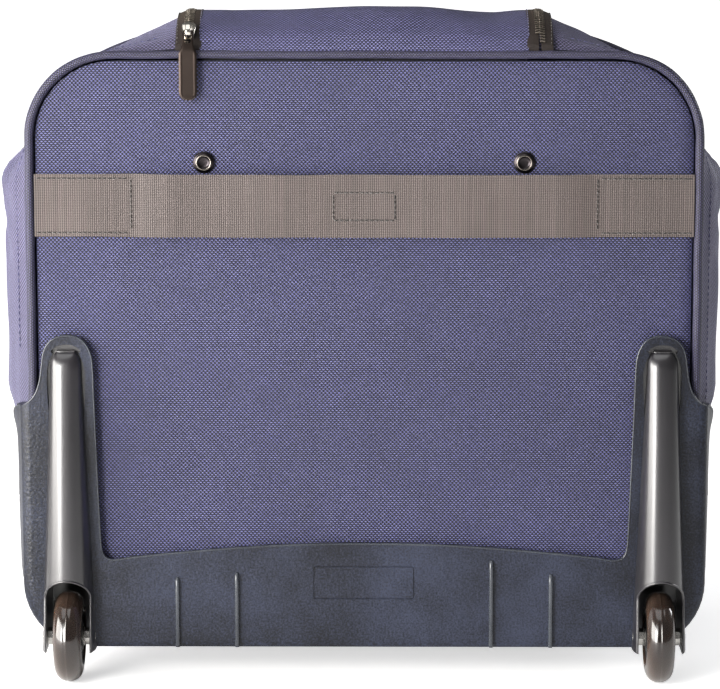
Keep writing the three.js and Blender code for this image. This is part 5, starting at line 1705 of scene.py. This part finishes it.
def build_pocket_zip():
    for name, z0, z1 in (("pocket_tape_low", 292.9, 297.3), ("pocket_tape_high", 298.3, 303.0)):
        x, z = np.meshgrid(np.linspace(-150, 150, 60), np.linspace(z0, z1, 5), indexing="ij")
        y = 101.7 + 0.15 * np.sin((z - z0) / (z1 - z0) * PI)
        tape = shell(name, np.stack([x, y, z], 2), [TAPE_NAVY],
                     inner=np.stack([x, np.full_like(x, 100.3), z], 2), uv=(x, z))
        piece(tape, "front_section", "zip_tape", "pocket_zip_tape")
    x = np.linspace(-148, 148, 300)
    normals = np.tile([0.0, 1.0, 0.0], (300, 1))
    for name, side, phase in (("pocket_teeth_low", -1, 0.0), ("pocket_teeth_high", 1, 0.9)):
        z = POCKET_ZIP_Z + side * 0.7
        line = np.stack([x, np.full(300, 101.6), np.full(300, z)], 1)
        row = teeth(name, line, normals, side, phase, pitch=1.8, size=(0.8, 1.5, 0.8))
        piece(row, "front_section", "zip_metal")


# -------------------------------------------------------------------- interior
def padded(name, node, low_half, taper, max_half, high, y, puff, quilt=None):
    """Upright panel that widens by taper up to max_half; quilt is the seams' spacing."""
    low = 31.5
    u, v = np.meshgrid(np.linspace(-1, 1, 60), np.linspace(0, 1, 60), indexing="ij")
    z = lerp(low, high, v)
    x = u * np.minimum(max_half, low_half + (z - 31) * taper)
    fall = (1 - np.abs(u) ** 8) * (1 - np.abs(2 * v - 1) ** 8)
    swell = puff * np.sqrt(np.maximum(0, fall))
    if quilt:
        seam = np.exp(-((np.mod(z - low, quilt) - quilt / 2) ** 2) / 3.0)
        swell = swell * (1 - 0.45 * seam * smooth(0.1, 0.6, fall))
    wave = 0.35 * wobble(x, 0 * x, z, 50, 1.1) * smooth(0, 0.5, fall)
    pad = shell(name, np.stack([x, y - 0.15 - swell + wave, z], 2), [LINING],
                inner=np.stack([x, y + 0.15 + swell + wave, z], 2), uv=(x, z))
    piece(pad, "case_body", "lining", node)


def build_interior():
    padded("laptop_divider_pad", "laptop_divider", low_half=143, taper=1.15, max_half=194,
           high=317, y=-8.0, puff=2.7, quilt=48)
    padded("trolley_cover_panel", "trolley_cover", low_half=144, taper=1.16, max_half=192.5,
           high=351.5, y=-53.6, puff=0.85)


# ------------------------------------------------------------------- telescopic grip
# Each solid's levels: (z, inset)
GRIP_BASE = [(378, 2.4), (378.6, 1.2), (379.6, 0.4), (380.8, 0), (386.4, 0), (387, 0.35)]
GRIP_CAP = [(387.3, 0.4), (387.9, 0), (390.5, 0.2), (392.6, 1.0), (394.2, 2.2), (395.3, 3.7),
            (396, 5.4)]
GRIP_BUTTON = [(387.6, 0), (397.4, 0), (398.1, 0.3), (398.5, 0.9), (398.6, 1.6), (398.3, 2.4)]


def grip_solid(name, levels, mat):
    rings = [rounded_ring(z, 0, GRIP_Y, 98 - i, 10.5 - i, max(2.2, 8 - i), 10)
             for z, i in levels]
    return rings_solid(name, rings, [mat], 35)


def button_hole():
    return prism(round_rect(-15.4, 15.4, GRIP_Y - 4.4, GRIP_Y + 4.4, 3.5, 5), 383.2, 400, "z")


def build_telescopic_grip():
    base = grip_solid("grip_base_shell", GRIP_BASE, BLACK)
    sockets = [prism(round_rect(s * 86 - 6.7, s * 86 + 6.7, -69.7, -62.3, 2.4, 4), 370, 386.3, "z")
               for _, s in SIDES]
    boolean(base, [button_hole()] + sockets, angle=35)
    piece(base, "trolley_grip", "black_plastic", "grip_base")
    cap = grip_solid("grip_cap_pad", GRIP_CAP, RUBBER)
    boolean(cap, button_hole(), angle=35)
    piece(cap, "trolley_grip", "grip_rubber", "grip_cap")
    rings = [rounded_ring(z, 0, GRIP_Y, 15 - i, 4 - i, 3 - i * 0.6, 6) for z, i in GRIP_BUTTON]
    button = rings_solid("grip_button_key", rings, [GUNMETAL])
    piece(button, "grip_button", "gunmetal", "grip_button")


# ------------------------------------------------------- feet and handle anchors
FOOT_X, FOOT_Y = 160, 72
# Levels of a foot: (z, half x, half y, corner radius)
FOOT = [(0, 14.6, 8.6, 5), (0.3, 15.3, 9.3, 5.4), (1.2, 16.1, 10.1, 6), (4, 16.6, 10.6, 6),
        (12, 17.9, 11.9, 6), (17, 18.8, 12.8, 6), (18.6, 19.6, 13.2, 6), (20.5, 21.2, 14.4, 6),
        (23.7, 22, 15, 6)]


def build_foot(name, cx):
    rings = [rounded_ring(z, cx, FOOT_Y, half_x, half_y, r, 8) for z, half_x, half_y, r in FOOT]
    foot = rings_solid("front_foot_%s_rubber" % name, rings, [RUBBER], 35)
    for k in (-2, -1, 0, 1, 2):
        y = FOOT_Y + k * 3.2
        groove = prism(round_rect(cx - 12, cx + 12, y - 0.5, y + 0.5, 0.45, 3), -1, 0.8, "z")
        boolean(foot, groove, angle=35)
    piece(foot, "case_body", "grip_rubber", "front_foot_" + name)


def build_anchor(name, cx):
    """Handle anchor: base, two cheeks, a pin and two rivets."""
    levels = ((387.3, 0.2), (387.5, 0), (388.2, 0.1), (388.6, 0.6))
    rings = [rounded_ring(z, cx, HANDLE_Y, 14 - i, 8 - i, 3.4 - i * 0.5, 6) for z, i in levels]
    parts = [rings_solid("base", rings, [BLACK], 35)]
    cheek = [(HANDLE_Y - 6.6, 388.3), (HANDLE_Y + 6.6, 388.3)]
    cheek += [(HANDLE_Y + 4.5 * math.cos(a), HANDLE_Z + 4.2 * math.sin(a))
              for a in np.linspace(0, PI, 18)]
    cheek = np.array(cheek)
    middle = np.array([HANDLE_Y, HANDLE_Z - 1])
    for x0, x1 in ((cx - 10, cx - 7.2), (cx + 7.2, cx + 10)):
        rings = [[(x, y, z) for y, z in cheek + (middle - cheek) * k]
                 for x, k in ((x0, 0.06), (x0 + 0.35, 0.0), (x1 - 0.35, 0.0), (x1, 0.06))]
        parts.append(rings_solid("cheek", rings, [BLACK], 35))
    parts.append(lathe("pin", [(0, -8), (2, -8), (2, 8), (0, 8)], "x",
                       (cx, HANDLE_Y, HANDLE_Z), [STEEL], 28))
    head = [(0, 388.5), (1.7, 388.5), (1.6, 389.0), (1.0, 389.35), (0, 389.45)]
    for dx in (-11.8, 11.8):
        parts.append(lathe("head", head, "z", (cx + dx, HANDLE_Y, 0), [GUNMETAL_RING], 20, 60))
    anchor = join("handle_anchor_%s_base" % name, parts, 35)
    piece(anchor, "case_body", "black_plastic", "handle_anchor_" + name)


# ---------------------------------------------------------- CAD pieces kept as they are
def dress_cad_nodes():
    by_name = {"back_stiffener": BOARD, "bottom_board": BOARD, "panel_loop_patch": LOOP,
               "strap_hook_patch": LOOP}
    for name, obj in frame["nodes"].items():
        if name in replaced:
            continue
        if name in by_name:
            mat = by_name[name]
        elif name in ("trolley_top_bracket", "trolley_bottom_bracket"):
            mat = BLACK
        elif "tube" in name:
            mat = ALUMINIUM
        elif "axle" in name or "bush" in name:
            mat = STEEL
        else:
            mat = BLACK
        obj.data.materials.clear()
        obj.data.materials.append(mat)
        shade(obj, 32)


# ------------------------------------------------------------------------ stage
# From here on, lengths are metres.
def build_floor():
    m = Mat("pale_floor", rough=0.6, spec=0.2)
    m.set("Base Color", m.mix(m.noise(scale=2.0, detail=3.0),
                              (0.87, 0.87, 0.87, 1), (0.9, 0.9, 0.9, 1)))
    # to the camera the floor glows, more so further out
    far = m.node("ShaderNodeVectorMath", {0: m.coords()}, operation="LENGTH").outputs[1]
    m.set("Emission Color", (1, 1, 1, 1))
    seen = m.node("ShaderNodeLightPath").outputs["Is Camera Ray"]
    m.set("Emission Strength", m.mul(seen, m.step(far, lo=0.3, hi=2.4, a=0.56, b=0.85)))
    me = bpy.data.meshes.new("floor")
    half = 20
    me.from_pydata([(-half, -half, 0), (half, -half, 0), (half, half, 0), (-half, half, 0)], [],
                   [(0, 1, 2, 3)])
    me.materials.append(m.mat)
    link(bpy.data.objects.new("floor", me))


def build_world():
    """White to the camera, dim as a light."""
    world = bpy.data.worlds.new("studio")
    bpy.context.scene.world = world
    world.use_nodes = True
    tree = world.node_tree
    background = tree.nodes["Background"]
    light_path = tree.nodes.new("ShaderNodeLightPath")
    strength = tree.nodes.new("ShaderNodeMix")
    strength.data_type = "FLOAT"
    strength.inputs[2].default_value = 0.14  # as a light
    strength.inputs[3].default_value = 1.0  # seen by the camera
    tree.links.new(light_path.outputs["Is Camera Ray"], strength.inputs[0])
    tree.links.new(strength.outputs[0], background.inputs["Strength"])
    background.inputs["Color"].default_value = (1.0, 1.0, 1.0, 1)


def aim(obj, direction):
    obj.rotation_euler = direction.to_track_quat("-Z", "Y").to_euler()


def area(name, loc, target, size, power, color=(1, 1, 1), size_y=None):
    light = bpy.data.lights.new(name, "AREA")
    light.energy = power
    light.size = size
    light.color = color
    if size_y:
        light.shape = "RECTANGLE"
        light.size_y = size_y
    obj = link(bpy.data.objects.new(name, light))
    obj.location = loc
    aim(obj, Vector(target) - Vector(loc))


def build_lights():
    area("key", loc=(-0.8, -1.5, 1.0), target=(-0.02, -0.08, 0.2), size=0.7, power=4)
    area("strip", loc=(-1.05, -1.55, 0.4), target=(0, -0.08, 0.2), size=0.6, size_y=1.0,
         power=24, color=(1.0, 0.98, 0.96))
    area("side", loc=(-1.25, -0.85, 0.45), target=(0, 0.0, 0.2), size=1.9, size_y=1.0,
         power=62, color=(1.0, 0.975, 0.94))
    area("edge", loc=(1.3, 0.75, 0.7), target=(0.1, 0, 0.25), size=0.5,
         power=8, color=(0.97, 0.98, 1.0))
    sun = bpy.data.lights.new("overhead", "SUN")
    sun.energy = 0.9
    sun.angle = 0.9
    obj = link(bpy.data.objects.new("overhead", sun))
    obj.location = (0, 0, 3)
    aim(obj, Vector((0.15, 0.12, 0)) - Vector((0, 0, 1)))


def build_camera():
    """Behind the case, looking forward and slightly down."""
    scene = bpy.context.scene
    cam = bpy.data.cameras.new("camera")
    obj = link(bpy.data.objects.new("camera", cam))
    cam.lens = 167.2
    cam.sensor_width = 36.0
    cam.sensor_fit = "HORIZONTAL"
    cam.clip_start = 0.05
    cam.clip_end = 60
    obj.location = (0.011, -2.084, 0.566)
    yaw, pitch = math.radians(-0.387), math.radians(10.13)
    aim(obj, Vector((math.sin(yaw) * math.cos(pitch), math.cos(yaw) * math.cos(pitch),
                     -math.sin(pitch))))
    scene.camera = obj
    scene.view_settings.view_transform = "Standard"
    scene.view_settings.look = "None"
    scene.view_settings.exposure = 0.0


# ------------------------------------------------------------------------ build
build_soft_body()
build_rear_panel()
build_rear_piping()
build_main_zip()
build_gusset_stitching()
build_front_piping()
build_flap_cloth()
build_flap_zip()
build_strap()
build_base()
for side_name, side_sign in SIDES:
    build_housing(side_name, side_sign * WHEEL_X)
    build_arch_lip(side_name, side_sign * WHEEL_X)
    build_wheel(side_name, side_sign * WHEEL_X)
build_rivets()
build_sliders()
build_flap_pull()
build_carry_handle()
build_pocket()
build_pocket_zip()
build_interior()
build_telescopic_grip()
for side_name, side_sign in SIDES:
    build_foot(side_name, side_sign * FOOT_X)
    build_anchor(side_name, side_sign * HANDLE_X)
dress_cad_nodes()
build_floor()
build_world()
build_lights()
build_camera()
